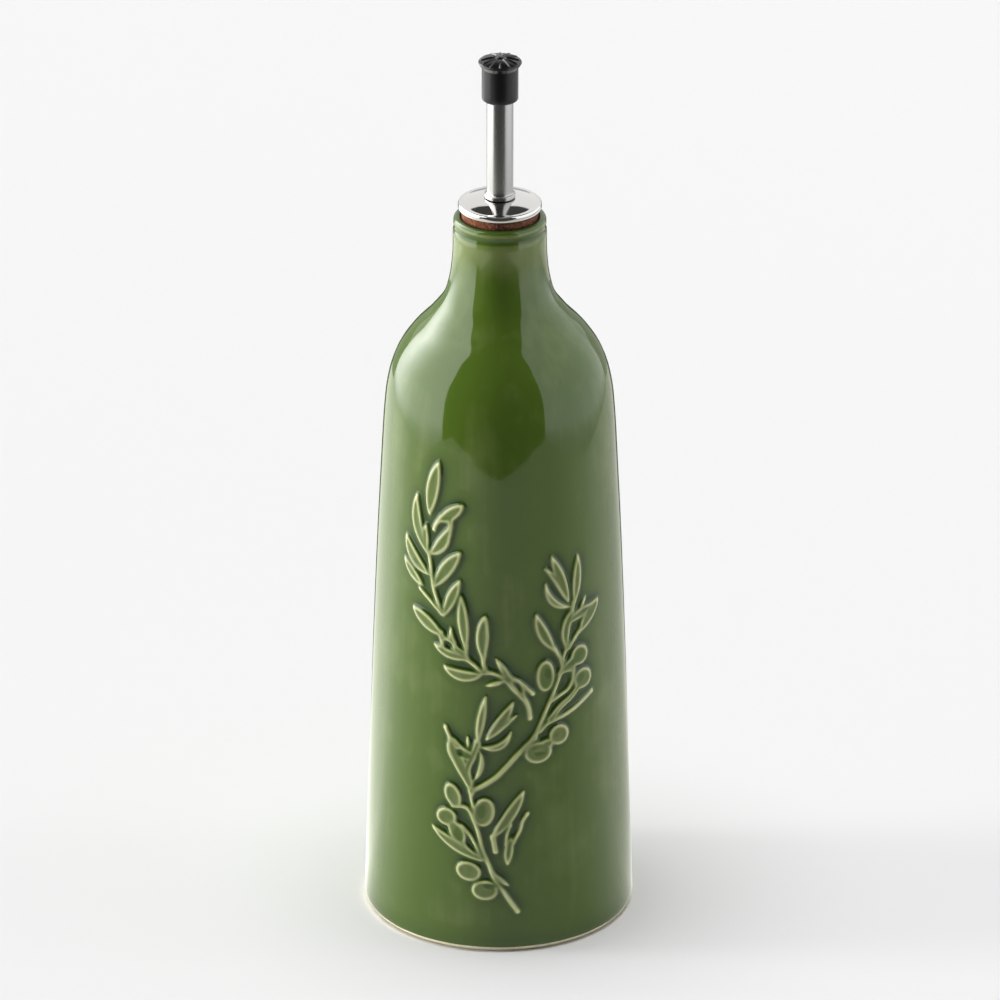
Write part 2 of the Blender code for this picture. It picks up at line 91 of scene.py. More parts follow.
# The branch, in mm: across is measured round the wall from its front, rightwards, and up from the foot.
# Leaves: base, tip, half width, and how far the middle bows to the left of the line from base to tip
UPPER_LEAVES = (
    ((-24.6, 158.5), (-20.8, 179.0), 2.7, 0.5),
    ((-25.2, 144.7), (-30.0, 165.3), 2.3, 2.2),
    ((-25.4, 145.0), (-25.9, 155.5), 1.6, 0.6),
    ((-20.5, 157.5), (-11.6, 164.8), 2.3, -0.2),
    ((-24.0, 144.8), (-17.0, 155.5), 2.4, -1.2),
    ((-24.5, 137.0), (-35.3, 149.2), 2.4, 1.9),
    ((-27.3, 132.3), (-36.2, 140.5), 1.9, 0.4),
    ((-22.3, 133.3), (-12.6, 147.8), 2.6, 0.4),
    ((-19.0, 123.3), (-12.9, 137.7), 2.1, 0.1),
    ((-11.0, 112.0), (-12.9, 132.5), 2.1, 0.15),
    ((-19.8, 116.3), (-32.0, 123.9), 2.5, 0.2),
    ((-14.2, 111.5), (-16.6, 120.0), 1.15, 0.7),
    ((-10.5, 109.3), (-23.3, 112.4), 1.8, 1.0),
    ((-5.15, 109.5), (-4.6, 125.7), 2.35, 0.65),
    ((-5.3, 104.0), (-19.7, 105.0), 2.2, 1.9),
    ((2.0, 101.7), (-4.8, 99.3), 0.95, 0.2),
    ((4.5, 100.5), (-1.4, 110.0), 1.25, 0.0),
)
RIGHT_LEAVES = (
    ((26.6, 125.5), (28.2, 144.0), 1.95, -0.4),
    ((24.3, 127.0), (17.6, 145.6), 2.15, -0.2),
    ((24.0, 128.3), (15.1, 141.5), 1.4, -0.9),
    ((25.0, 125.3), (15.3, 135.9), 1.4, 2.65),
    ((29.3, 123.7), (32.2, 127.8), 0.75, 0.0),
    ((29.5, 116.0), (38.2, 124.9), 2.6, 0.3),
    ((23.6, 110.5), (25.5, 124.5), 1.9, 1.2),
    ((19.3, 110.7), (12.1, 125.4), 2.15, 0.95),
    ((24.0, 119.5), (36.0, 123.5), 1.9, 0.6),
    ((22.0, 102.5), (30.0, 107.0), 2.2, 0.0),
)
LOWER_LEAVES = (
    ((-9.9, 62.0), (-17.6, 79.5), 2.2, -0.3),
    ((-10.3, 76.0), (-10.6, 80.9), 0.7, 0.0),
    ((-7.2, 77.5), (-4.3, 96.2), 1.65, 0.15),
    ((-4.3, 79.8), (5.2, 94.0), 1.9, -0.5),
    ((-4.0, 79.8), (6.5, 89.0), 1.3, 0.5),
    ((-6.3, 77.0), (4.6, 82.8), 1.4, -2.8),
    ((-6.3, 75.5), (-8.6, 63.3), 1.1, 1.45),
    ((-8.3, 72.8), (-17.0, 75.3), 2.3, 0.0),
    ((-5.0, 34.9), (-24.0, 45.3), 2.1, 0.65),
    ((-2.3, 43.3), (8.8, 61.0), 2.2, -0.6),
    ((2.9, 33.2), (4.2, 44.2), 1.7, 0.2),
    ((-2.4, 30.6), (3.9, 24.9), 0.95, -0.2),
)
LEAVES = UPPER_LEAVES + RIGHT_LEAVES + LOWER_LEAVES

# Stems: half width, then the points they pass through
STEMS = (
    (0.9, ((-22.8, 153.9), (-21.8, 156.0), (-20.0, 158.6))),
    (1.1, ((-16.5, 158.5), (-16.6, 156.0), (-17.2, 153.5))),
    (0.65, ((-28.5, 131.0), (-24.3, 127.7), (-20.0, 124.0))),
    (0.9, ((-24.8, 145.3), (-24.1, 140.5), (-23.2, 134.5), (-22.3, 130.5), (-19.6, 124.3))),
    (0.95, ((-19.9, 117.0), (-19.6, 114.5), (-19.4, 111.8))),
    (0.9, ((-19.6, 115.4), (-17.5, 115.1), (-15.5, 114.2))),
    (0.75, ((-11.0, 113.5), (-10.9, 109.5))),
    (1.25, ((-14.5, 112.2), (-12.2, 110.8))),
    (
        0.85,
        ((-14.0, 109.3), (-11.5, 109.0), (-8.5, 107.0), (-5.5, 104.7), (-2.5, 104.3), (0.5, 103.3),
         (3.0, 101.8)),
    ),
    (0.88, ((-5.2, 111.0), (-5.15, 107.5), (-4.4, 104.8))),
    (0.8, ((3.0, 102.6), (6.3, 101.2), (8.5, 99.0), (11.4, 96.0))),
    (0.95, ((2.8, 101.5), (5.0, 98.3), (8.3, 94.6), (9.9, 91.0), (10.4, 87.2))),
    (0.8, ((8.2, 98.6), (8.0, 95.5))),
    (0.95, ((26.2, 126.5), (25.8, 123.5), (24.3, 120.5))),
    (
        0.85,
        ((23.9, 111.3), (22.2, 107.0), (21.7, 103.5), (20.4, 99.5), (18.6, 95.0), (16.4, 90.0),
         (14.2, 85.0), (12.0, 79.8)),
    ),
    (0.75, ((19.2, 111.0), (20.6, 108.5), (21.8, 106.0))),
    (0.7, ((20.8, 101.8), (23.3, 102.6), (26.3, 102.0))),
    (0.8, ((26.3, 102.0), (26.0, 98.5), (24.2, 95.4), (21.0, 93.8), (18.5, 92.6))),
    (0.9, ((24.6, 110.6), (28.2, 114.9), (31.5, 117.3))),
    (0.9, ((14.0, 82.0), (17.0, 84.6), (22.0, 86.0), (27.0, 87.9), (34.3, 91.7))),
    (1.3, ((17.5, 85.8), (21.5, 89.8), (25.3, 92.3), (28.5, 95.5))),
    (1.0, ((12.0, 79.8), (8.5, 76.5), (5.3, 73.0), (2.6, 69.8), (-0.8, 66.0), (-5.0, 62.8), (-9.3, 60.4))),
    (0.8, ((-18.4, 82.6), (-16.9, 79.6), (-14.9, 77.4))),
    (0.6, ((-15.2, 78.5), (-12.2, 75.9))),
    (0.7, ((-17.2, 76.5), (-16.9, 73.5), (-14.7, 70.0), (-12.4, 66.7), (-10.1, 62.5), (-9.1, 59.5))),
    (1.4, ((-7.2, 78.0), (-8.8, 73.0), (-10.6, 68.0), (-9.8, 63.0))),
    (0.65, ((-9.3, 60.2), (-9.3, 57.5), (-8.6, 54.5))),
    (
        0.85,
        ((-15.5, 54.2), (-12.0, 54.2), (-10.0, 53.0), (-8.5, 49.8), (-7.0, 45.3), (-5.4, 39.0),
         (-3.4, 33.5), (-1.8, 29.0), (0.7, 24.6), (3.4, 20.2), (6.4, 15.6)),
    ),
    (0.8, ((-12.5, 46.8), (-10.0, 44.3), (-8.0, 40.8), (-6.3, 37.0))),
    (1.0, ((-13.3, 43.5), (-12.0, 40.3), (-9.9, 37.4), (-6.2, 35.4))),
    (1.05, ((-1.9, 43.5), (-1.1, 38.3))),
    (0.75, ((4.8, 41.5), (7.0, 45.8), (8.0, 49.3), (9.6, 51.8))),
    (0.65, ((2.4, 41.0), (2.7, 44.5), (3.9, 48.0))),
)

# Olives: centre, half across, half up, and turn in degrees
OLIVES = (
    ((28.9, 106.7), 3.7, 3.8, 0),
    ((30.3, 97.8), 4.0, 3.9, 0),
    ((15.8, 101.9), 3.4, 5.7, 0),
    ((20.8, 79.5), 3.8, 3.8, 0),
    ((16.5, 77.0), 2.2, 1.8, 0),
    ((13.3, 74.2), 4.9, 4.1, 0),
    ((-15.7, 58.0), 3.0, 4.5, 22),
    ((-5.0, 52.7), 3.8, 5.4, -8),
    ((-18.0, 49.6), 3.8, 3.4, 10),
    ((-14.2, 44.5), 2.9, 4.5, 30),
    ((-10.2, 30.4), 4.5, 3.7, -12),
    ((-4.6, 23.7), 4.6, 3.8, 0),
)
# Hollows: centre, half across, half up, turn, and how deep each goes in mm
HOLLOWS = (
    ((-13.1, 74.2), 1.0, 1.1, 0, 0.5),
    ((-17.2, 112.9), 1.25, 1.15, 0, 0.55),
    ((16.6, 103.0), 0.9, 1.8, 0, 0.15),
    ((14.0, 73.4), 2.6, 1.0, 0, 0.13),
    ((-2.6, 25.5), 2.2, 1.0, 0, 0.25),
)
# How finely the middle lines are drawn: points along a leaf, and along each stretch of a stem
LEAF_POINTS = 19
STEM_POINTS = 9
# A leaf's outline: the power of its sine, its half width at the points, and how far short of the tip its
# middle line ends
LEAF_POWER = 0.62
LEAF_POINT_HALF = 0.22
LEAF_TIP = 0.7
# The relief's form in mm. Its edges are given by how far they lie outside the outline, and it dishes inside.
FILLET = 0.45
RELIEF_HEIGHT = 0.85
RELIEF_EDGE_OUT, RELIEF_EDGE_IN = 0.5, -0.7
HOLLOW_EDGE_OUT, HOLLOW_EDGE_IN = 0.5, -0.9
DISH_DEPTH = 0.27
DISH_START, DISH_END = -0.5, -1.7
SOFTEN = 0.3

# The relief is worked out once on a map of even points, in mm, and read from that
MAP_STEP = 0.25
MAP_HALF = 44.0
MAP_LOW, MAP_HIGH = 10.0, 184.0
MAP_FAR = 7.0

# The mesh: coarse cells, halved up to three times towards an edge of the relief
COLUMNS = 128
HALVINGS = 3
FINE = 2**HALVINGS
CELL_LIMITS = (5.0, 2.3, 0.95)
CELL_BIAS = 0.2
RELIEF_LOW, RELIEF_HIGH = 12.0, 182.0
RELIEF_ROWS = 77


def wall_radius(height):
    """The outer radius in mm, by a cubic through the stations.

    The slope at each station is the harmonic mean of the slopes on its two sides.
    """
    z, r = WALL[:, 0], WALL[:, 1]
    step = np.diff(r) / np.diff(z)
    slope = np.concatenate([step[:1], 2 * step[:-1] * step[1:] / (step[:-1] + step[1:]), step[-1:]])
    i = np.clip(np.searchsorted(z, height, side="right") - 1, 0, len(z) - 2)
    span = z[i + 1] - z[i]
    t = (height - z[i]) / span
    start = (2 * t**3 - 3 * t**2 + 1) * r[i] + (t**3 - 2 * t**2 + t) * span * slope[i]
    return start + (3 * t**2 - 2 * t**3) * r[i + 1] + (t**3 - t**2) * span * slope[i + 1]


def smooth_step(low, high, value):
    """0 at low and 1 at high, by 3t^2 - 2t^3 between them."""
    t = np.clip((value - low) / (high - low), 0, 1)
    return t * t * (3 - 2 * t)


def arc(centre, radius, start, end, count):
    """Points (radius, height) on a circle from start to end degrees."""
    angle = np.radians(np.linspace(start, end, count))
    return np.stack([centre[0] + radius * np.cos(angle), centre[1] + radius * np.sin(angle)], axis=1)


def leaf_line(base, tip, half, bow):
    """A leaf's middle line, bowed by a parabola, and its half width at each point.

    The half width is a power of a sine, so the leaf is widest at its middle and pointed at both ends.
    """
    base, tip = np.array(base), np.array(tip)
    t = np.linspace(0, 1, LEAF_POINTS)[:, None]
    run = tip - base
    run *= 1 - LEAF_TIP / np.linalg.norm(run)
    left = np.array([-run[1], run[0]]) / np.linalg.norm(run)
    line = base + run * t + left * 4 * t * (1 - t) * bow
    return line, np.maximum(half * np.sin(np.pi * t[:, 0]).clip(0) ** LEAF_POWER, LEAF_POINT_HALF)


def stem_line(half, points):
    """A smooth curve through the points, and its half width, the same all along.

    Each stretch is a Catmull-Rom cubic of its two ends and the points next to them.
    """
    points = np.array(points)
    padded = np.concatenate([points[:1], points, points[-1:]])
    t = np.linspace(0, 1, STEM_POINTS)[:, None]
    parts = []
    for a, b, c, d in zip(padded, padded[1:], padded[2:], padded[3:]):
        parts.append(
            0.5 * (2 * b + (c - a) * t + (2 * a - 5 * b + 4 * c - d) * t**2 + (3 * b - a - 3 * c + d) * t**3)
        )
    line = np.concatenate(parts)
    return line, np.full(len(line), half)


def strip_distance(places, line, half):
    """How far each place is outside a strip, negative inside it.

    That is its distance to the middle line, less the half width at the nearest point.
    """
    start, run = line[:-1], np.diff(line, axis=0)
    t = ((places[:, None] - start) * run).sum(-1) / np.maximum((run**2).sum(-1), 1e-9)
    t = t.clip(0, 1)
    gap = np.linalg.norm(places[:, None] - start - t[..., None] * run, axis=-1)
    return (gap - half[:-1] - t * np.diff(half)).min(axis=1)


def ellipse_distance(places, centre, half_across, half_up, turn):
    """How far each place is outside an ellipse, near enough: k (k - 1) over the gradient of k."""
    angle = math.radians(turn)
    offset = places - centre
    across = offset[:, 0] * math.cos(angle) + offset[:, 1] * math.sin(angle)
    up = offset[:, 1] * math.cos(angle) - offset[:, 0] * math.sin(angle)
    k = np.hypot(across / half_across, up / half_up)
    gradient = np.maximum(np.hypot(across / half_across**2, up / half_up**2), 1e-6)
    return np.where(k < 1e-3, -min(half_across, half_up), k * (k - 1) / gradient)


def branch_distance(places):
    """How far each (across, up) place is outside the branch in mm, negative on it.

    The shapes are joined by a soft minimum, -f log(sum of exp(-d / f)), which rounds the corners where
    they meet.
    """
    total = np.full(len(places), math.exp(-MAP_FAR / FILLET))
    for line, half in [leaf_line(*leaf) for leaf in LEAVES] + [stem_line(*stem) for stem in STEMS]:
        reach = half.max() + MAP_FAR
        low, high = line.min(axis=0) - reach, line.max(axis=0) + reach
        near = np.flatnonzero(((places > low) & (places < high)).all(axis=1))
        total[near] += np.exp(-strip_distance(places[near], line, half) / FILLET)
    for olive in OLIVES:
        near = np.flatnonzero(np.linalg.norm(places - olive[0], axis=1) < max(olive[1:3]) + MAP_FAR)
        total[near] += np.exp(-ellipse_distance(places[near], *olive) / FILLET)
    return -FILLET * np.log(total)


def blurred(field, sigma):
    """The field smoothed by a Gaussian of that width in mm, along one side and then along the other."""
    steps = math.ceil(3 * sigma / MAP_STEP)
    reach = np.arange(-steps, steps + 1) * MAP_STEP
    weight = np.exp(-(reach**2) / (2 * sigma**2))
    weight /= weight.sum()
    for _ in range(2):
        field = np.apply_along_axis(np.convolve, 0, field, weight, mode="same").T
    return field


def read_map(field, across, up):
    """The map's value at each place, by straight lines between its points."""
    i = np.clip((across + MAP_HALF) / MAP_STEP, 0, field.shape[0] - 1.001)
    j = np.clip((up - MAP_LOW) / MAP_STEP, 0, field.shape[1] - 1.001)
    column, row = i.astype(int), j.astype(int)
    s, t = i - column, j - row
    low = field[column, row] * (1 - s) + field[column + 1, row] * s
    return low * (1 - t) + t * (field[column, row + 1] * (1 - s) + field[column + 1, row + 1] * s)


map_across, map_up = np.meshgrid(
    np.arange(-MAP_HALF, MAP_HALF + MAP_STEP / 2, MAP_STEP),
    np.arange(MAP_LOW, MAP_HIGH + MAP_STEP / 2, MAP_STEP),
    indexing="ij",
)
map_places = np.stack([map_across.ravel(), map_up.ravel()], axis=1)
edge_map = branch_distance(map_places)
hollow_map = np.zeros(len(map_places))
for *ellipse, depth in HOLLOWS:
    outside = ellipse_distance(map_places, *ellipse)
    hollow_map += depth * smooth_step(HOLLOW_EDGE_OUT, HOLLOW_EDGE_IN, outside)
edge_map, hollow_map = edge_map.reshape(map_across.shape), hollow_map.reshape(map_across.shape)
body_map = smooth_step(RELIEF_EDGE_OUT, RELIEF_EDGE_IN, edge_map)
height_map = RELIEF_HEIGHT * body_map - DISH_DEPTH * smooth_step(DISH_START, DISH_END, edge_map)
height_map = blurred(np.maximum(height_map - hollow_map, 0), SOFTEN)

# Glaze depth: 0 where it breaks thin over an edge, 0.5 on the plain wall, 1 where it pools. It runs off the
# edges and gathers in the corners round them, most of all above them. The pool is also moved to the right,
# which paints shade on the branch's right side, away from the left light. Blurs are in mm, shares are depth
# for each mm of height, and the run up and the shade's shift across are in points of the map.
PLAIN_DEPTH = 0.5
CREST_BLUR, CREST_SHARE = 0.7, 1.5
POOL_SHADE_BLUR, POOL_SHADE_SHARE = 1.7, 1.6
BODY_SHARE = 0.03
SHADE_SHIFT_ACROSS, RUN_UP = 2, 4
# (height, reach, depth) of bands round the bottle where the glaze is deeper, or paler where the depth is
# negative: in the groove, where it gathers and a dark reflection is painted too; on the rim's roll, where it
# thins and a highlight is painted too; at the rim's top, painted shade under the flange; and above the foot,
# where it gathers
POOLS_AND_PAINTED_LIGHT = (
    (GROOVE_HEIGHT + 0.4, 1.0, 0.27),
    (RIM_TOP - RIM_OUTER_ROUND, 0.7, -0.04),
    (RIM_TOP, 0.8, 0.25),
    (4.0, 3.0, 0.13),
)
# It is also made a little paler up the neck, from the first height to the second
NECK_PALER = 0.055
NECK_PALER_START, NECK_PALER_END = 232.0, 246.0
crest_map = np.clip(height_map - blurred(height_map, CREST_BLUR), 0, None)
pooled_and_shaded = blurred(height_map, POOL_SHADE_BLUR)
# The pool moves up, where the glaze gathers, and right, which is painted shade away from the left light
pooled_and_shaded[SHADE_SHIFT_ACROSS:, RUN_UP:] = pooled_and_shaded[:-SHADE_SHIFT_ACROSS, :-RUN_UP].copy()
pool_and_shade_map = np.clip(pooled_and_shaded - height_map, 0, None)
depth_and_light_map = PLAIN_DEPTH - CREST_SHARE * crest_map + POOL_SHADE_SHARE * pool_and_shade_map - BODY_SHARE * body_map


def bottle_profile():
    """(radius, height) of each coarse row, and the rows where the relief's even spacing begins and ends.

    The rows run from the socket's floor up, over the rim, down the wall and under the foot.
    """
    taper = (CORK_TOP_RADIUS - CORK_BOTTOM_RADIUS) / (CORK_TOP - CORK_BOTTOM)
    mouth = CORK_TOP_RADIUS - taper * (CORK_TOP - RIM_TOP) + GAP
    socket = np.array([(CORK_BOTTOM_RADIUS + GAP, CORK_BOTTOM - GAP)])
    inner = arc((mouth + RIM_INNER_ROUND, RIM_TOP - RIM_INNER_ROUND), RIM_INNER_ROUND, 180, 90, 5)
    outer = arc((RIM_RADIUS - RIM_OUTER_ROUND, RIM_TOP - RIM_OUTER_ROUND), RIM_OUTER_ROUND, 90, 0, 9)
    height = np.linspace(RIM_TOP - RIM_OUTER_ROUND, WALL[-1, 0], 10)[1:-1]
    depth = np.exp(-(((height - GROOVE_HEIGHT) / GROOVE_REACH) ** 2))
    edge = np.linspace(RIM_RADIUS, WALL[-1, 1], 10)[1:-1]
    groove = np.stack([edge - depth * (RIM_RADIUS - GROOVE_RADIUS), height], axis=1)
    neck = np.linspace(WALL[-1, 0], NECK_FOOT + 1.0, 7)
    shoulder = np.linspace(NECK_FOOT, RELIEF_HIGH + 1.5, 34)
    relief = np.linspace(RELIEF_HIGH, RELIEF_LOW, RELIEF_ROWS)
    low = np.linspace(RELIEF_LOW - 2.0, FOOT_ROUND, 5)
    walls = [np.stack([wall_radius(part), part], axis=1) for part in (neck, shoulder, relief, low)]
    foot = arc((WALL[0, 1] - FOOT_ROUND, FOOT_ROUND), FOOT_ROUND, 0, -90, 9)[1:]
    under = arc((FOOT_RING_INNER + FOOT_INNER_ROUND, FOOT_INNER_ROUND), FOOT_INNER_ROUND, -90, -180, 4)
    recess = np.array(RECESS_CORNER) + (FOOT_RING_INNER, FOOT_RECESS)
    rows = [socket, inner, outer, groove, *walls, foot, under, recess]
    first = sum(len(part) for part in rows[:6])
    return np.concatenate(rows), first, first + RELIEF_ROWS - 1


profile, relief_start, relief_end = bottle_profile()
lattice_columns = COLUMNS * FINE
lattice_rows = (len(profile) - 1) * FINE


def lattice_place(column, row):
    """(angle from the front, radius, height, whether it is in the relief) of each lattice point.

    Rows run down the profile. Within the relief they are even, and the radius is the wall's own curve.
    """
    height = np.interp(row / FINE, np.arange(len(profile)), profile[:, 1])
    radius = np.interp(row / FINE, np.arange(len(profile)), profile[:, 0])
    inside = (row >= relief_start * FINE) & (row <= relief_end * FINE)
    radius = np.where(inside, wall_radius(np.clip(height, WALL[0, 0], WALL[-1, 0])), radius)
    return (column / lattice_columns - 0.5) * 2 * math.pi, radius, height, inside


def split_near_branch():
    """[(columns, rows, size)] of all cells, those near an edge of the branch halved up to three times."""
    column, row = np.meshgrid(np.arange(COLUMNS) * FINE, np.arange(len(profile) - 1) * FINE, indexing="ij")
    column, row, size, finished = column.ravel(), row.ravel(), FINE, []
    for limit in CELL_LIMITS:
        angle, radius, height, _ = lattice_place(column + size / 2, row + size / 2)
        inside = (row >= relief_start * FINE) & (row < relief_end * FINE)
        near = np.zeros(len(row), bool)
        near[inside] = np.abs(read_map(edge_map, angle * radius, height)[inside] + CELL_BIAS) < limit
        finished.append((column[~near], row[~near], size))
        size //= 2
        column = (column[near][:, None] + size * np.array([0, 1, 1, 0])).ravel()
        row = (row[near][:, None] + size * np.array([0, 0, 1, 1])).ravel()
    finished.append((column, row, size))
    return finished


def bottle_surface():
    """Lattice points and faces, with no edge left open.

    A cell with a finer neighbour becomes a fan of triangles round its middle.
    """
    cells = split_near_branch()
    used = np.zeros((lattice_columns, lattice_rows + 1), bool)
    corner = {}
    for column, row, size in cells:
        i = np.stack([column, column, column + size, column + size], axis=1) % lattice_columns
        j = np.stack([row, row + size, row + size, row], axis=1)
        used[i, j] = True
        corner[size] = (i, j)
    quads, fans = [], []
    for column, row, size in cells:
        i, j = corner[size]
        if size == 1:
            quads.append(np.stack([i, j], axis=-1))
            continue
        half = size // 2
        middle_i = np.stack([column, column + half, column + size, column + half], axis=1) % lattice_columns
        middle_j = np.stack([row + half, row + size, row + half, row], axis=1)
        hanging = used[middle_i, middle_j]
        fan = hanging.any(axis=1)
        quads.append(np.stack([i, j], axis=-1)[~fan])
        centre = np.stack([(column + half) % lattice_columns, row + half], axis=1)
        for side in range(4):
            a = np.stack([i[:, side], j[:, side]], axis=1)
            b = np.stack([i[:, (side + 1) % 4], j[:, (side + 1) % 4]], axis=1)
            m = np.stack([middle_i[:, side], middle_j[:, side]], axis=1)
            split, whole = fan & hanging[:, side], fan & ~hanging[:, side]
            fans += [np.stack([a, m, centre], axis=1)[split], np.stack([m, b, centre], axis=1)[split]]
            fans.append(np.stack([a, b, centre], axis=1)[whole])
    quads, fans = np.concatenate(quads), np.concatenate(fans)
    used[fans[:, 2, 0], fans[:, 2, 1]] = True
    number = np.cumsum(used.ravel()).reshape(used.shape) - 1
    ring = np.arange(0, lattice_columns, FINE)
    faces = number[quads[..., 0], quads[..., 1]].tolist() + number[fans[..., 0], fans[..., 1]].tolist()
    faces += [number[ring, 0].tolist(), number[ring[::-1], lattice_rows].tolist()]
    return np.nonzero(used), faces


def new_piece(name, points, faces, material, sharp=35):
    """A piece of the object from points in mm, smooth but for edges sharper than the angle in degrees."""
    mesh = bpy.data.meshes.new(name)
    mesh.from_pydata(points * MM, [], faces)
    mesh.materials.append(material)
    mesh.shade_smooth()
    mesh.set_sharp_from_angle(angle=math.radians(sharp))
    piece = bpy.data.objects.new(name, mesh)
    scene.collection.objects.link(piece)
    return piece


def set_attribute(piece, name, values):
    """Keeps a number for each point of the piece, which its material can read."""
    layer = piece.data.attributes.new(name, "FLOAT", "POINT")
    layer.data.foreach_set("value", values.astype(np.float32))


(column, row), faces = bottle_surface()
angle, radius, height, inside = lattice_place(column, row)
relief = np.where(inside, read_map(height_map, angle * radius, height), 0)
reach = radius + relief
points = np.stack([reach * np.sin(angle), -reach * np.cos(angle), height], axis=1)
outer_side = radius > OUTER_SIDE_RADIUS
bands_and_painted_light = np.zeros(len(height))
# Bands of deeper and paler glaze, with painted shade, a painted highlight and a painted reflection at the rim
for band_height, band_reach, band_depth in POOLS_AND_PAINTED_LIGHT:
    bands_and_painted_light += band_depth * np.exp(-(((height - band_height) / band_reach) ** 2)) * outer_side
depth = np.where(inside, read_map(depth_and_light_map, angle * radius, height), PLAIN_DEPTH) + bands_and_painted_light
depth -= NECK_PALER * smooth_step(NECK_PALER_START, NECK_PALER_END, height) * outer_side


def linear(hex_colour):
    """An sRGB hex colour as linear red, green, blue and alpha.

    Each part c becomes c / 12.92 up to 0.04045, and ((c + 0.055) / 1.055) ** 2.4 above it.
    """
    parts = [int(hex_colour[i : i + 2], 16) / 255 for i in (1, 3, 5)]
    return (*[c / 12.92 if c <= 0.04045 else ((c + 0.055) / 1.055) ** 2.4 for c in parts], 1.0)


def add_node(tree, kind, inputs=None, **settings):
    """Adds a node with its settings.

    inputs maps a socket's name or number to its value, or to the output that feeds it.
    """
    made = tree.nodes.new(kind)
    for name, value in settings.items():
        setattr(made, name, value)
    for socket, value in (inputs or {}).items():
        if isinstance(value, bpy.types.NodeSocket):
            tree.links.new(value, made.inputs[socket])
        else:
            made.inputs[socket].default_value = value
    return made


def new_surface(name):
    """A material for one real surface, its empty node tree and its output node."""
    material = bpy.data.materials.new(name)
    material.use_nodes = True
    material.node_tree.nodes.clear()
    return material, material.node_tree, material.node_tree.nodes.new("ShaderNodeOutputMaterial")


# Green glaze over cream stoneware: glassy, so the room shows in it sharply, and its colour deepens with its
# depth. The depth also carries painted shade on the branch's right side and under the flange, a painted
# highlight on the rim's roll and a painted dark reflection in the groove, so the thin and deep colours paint
# light and shade there too. Fine clouding and downward runs come from the firing. The wiped foot shows dry,
# matt clay.
GLAZE_THIN_AND_HIGHLIGHT, GLAZE_WALL, GLAZE_DEEP_AND_SHADE = "#D8DAA2", "#43591A", "#1F370A"
CLAY, CLAY_GRIT = "#F2EBCD", "#B9B095"
CLOUD_MM, RUN_MM, GRIT_MM = 22.0, 4.0, 0.8
CLOUD_SHARE, RUN_SHARE = 0.1, 0.05
RUN_STRETCH = 0.07
RIPPLE_MM, RIPPLE_STRENGTH, RIPPLE_DEPTH_MM = 7.0, 0.12, 0.2
FOOT_LINE_MM = 2.0
FOOT_LINE_WAVE_MM, FOOT_LINE_WAVE_LONG_MM = 0.4, 9.0
GLAZE_ROUGHNESS, CLAY_ROUGHNESS = 0.06, 0.75

glaze, tree, output = new_surface("green_stoneware_glaze")
place = add_node(tree, "ShaderNodeTexCoord").outputs["Object"]
split = add_node(tree, "ShaderNodeSeparateXYZ", {0: place})
clouds = add_node(tree, "ShaderNodeTexNoise", {"Vector": place, "Scale": 1 / (CLOUD_MM * MM), "Detail": 3.0})
stretched = add_node(tree, "ShaderNodeMapping", {"Vector": place, "Scale": (1.0, 1.0, RUN_STRETCH)})
runs = add_node(
    tree, "ShaderNodeTexNoise", {"Vector": stretched.outputs[0], "Scale": 1 / (RUN_MM * MM), "Detail": 2.0}
)
depth_and_light_read = add_node(tree, "ShaderNodeAttribute", attribute_name="glaze_depth_and_painted_light")
cloudy = add_node(
    tree,
    "ShaderNodeMath",
    {0: clouds.outputs[0], 1: CLOUD_SHARE, 2: -CLOUD_SHARE / 2},
    operation="MULTIPLY_ADD",
)
streaky = add_node(
    tree,
    "ShaderNodeMath",
    {0: runs.outputs[0], 1: RUN_SHARE, 2: cloudy.outputs[0]},
    operation="MULTIPLY_ADD",
)
centred = add_node(tree, "ShaderNodeMath", {0: streaky.outputs[0], 1: RUN_SHARE / 2}, operation="SUBTRACT")
depth_and_light_sum = add_node(
    tree, "ShaderNodeMath", {0: depth_and_light_read.outputs["Fac"], 1: centred.outputs[0]}, operation="ADD"
)
colours = add_node(tree, "ShaderNodeValToRGB", {"Fac": depth_and_light_sum.outputs[0]})
ramp = colours.color_ramp
ramp.elements[0].position, ramp.elements[0].color = 0.0, linear(GLAZE_THIN_AND_HIGHLIGHT)
ramp.elements[1].position, ramp.elements[1].color = 1.0, linear(GLAZE_DEEP_AND_SHADE)
ramp.elements.new(0.5).color = linear(GLAZE_WALL)
wave = add_node(
    tree, "ShaderNodeTexNoise", {"Vector": place, "Scale": 1 / (FOOT_LINE_WAVE_LONG_MM * MM), "Detail": 2.0}
)
line = add_node(
    tree,
    "ShaderNodeMath",
    {0: wave.outputs[0], 1: FOOT_LINE_WAVE_MM * MM, 2: (FOOT_LINE_MM - FOOT_LINE_WAVE_MM / 2) * MM},
    operation="MULTIPLY_ADD",
)
bare = add_node(tree, "ShaderNodeMath", {0: split.outputs["Z"], 1: line.outputs[0]}, operation="LESS_THAN")
grit = add_node(tree, "ShaderNodeTexNoise", {"Vector": place, "Scale": 1 / (GRIT_MM * MM), "Detail": 3.0})
clay_colour = add_node(
    tree,
    "ShaderNodeMix",
    {"Factor": grit.outputs[0], "A": linear(CLAY), "B": linear(CLAY_GRIT)},
    data_type="RGBA",
)
surface_colour = add_node(
    tree,
    "ShaderNodeMix",
    {"Factor": bare.outputs[0], "A": colours.outputs["Color"], "B": clay_colour.outputs["Result"]},
    data_type="RGBA",
)
polish = add_node(
    tree,
    "ShaderNodeMapRange",
    {"Value": bare.outputs[0], "To Min": GLAZE_ROUGHNESS, "To Max": CLAY_ROUGHNESS},
)
ripple = add_node(tree, "ShaderNodeTexNoise", {"Vector": place, "Scale": 1 / (RIPPLE_MM * MM), "Detail": 1.0})
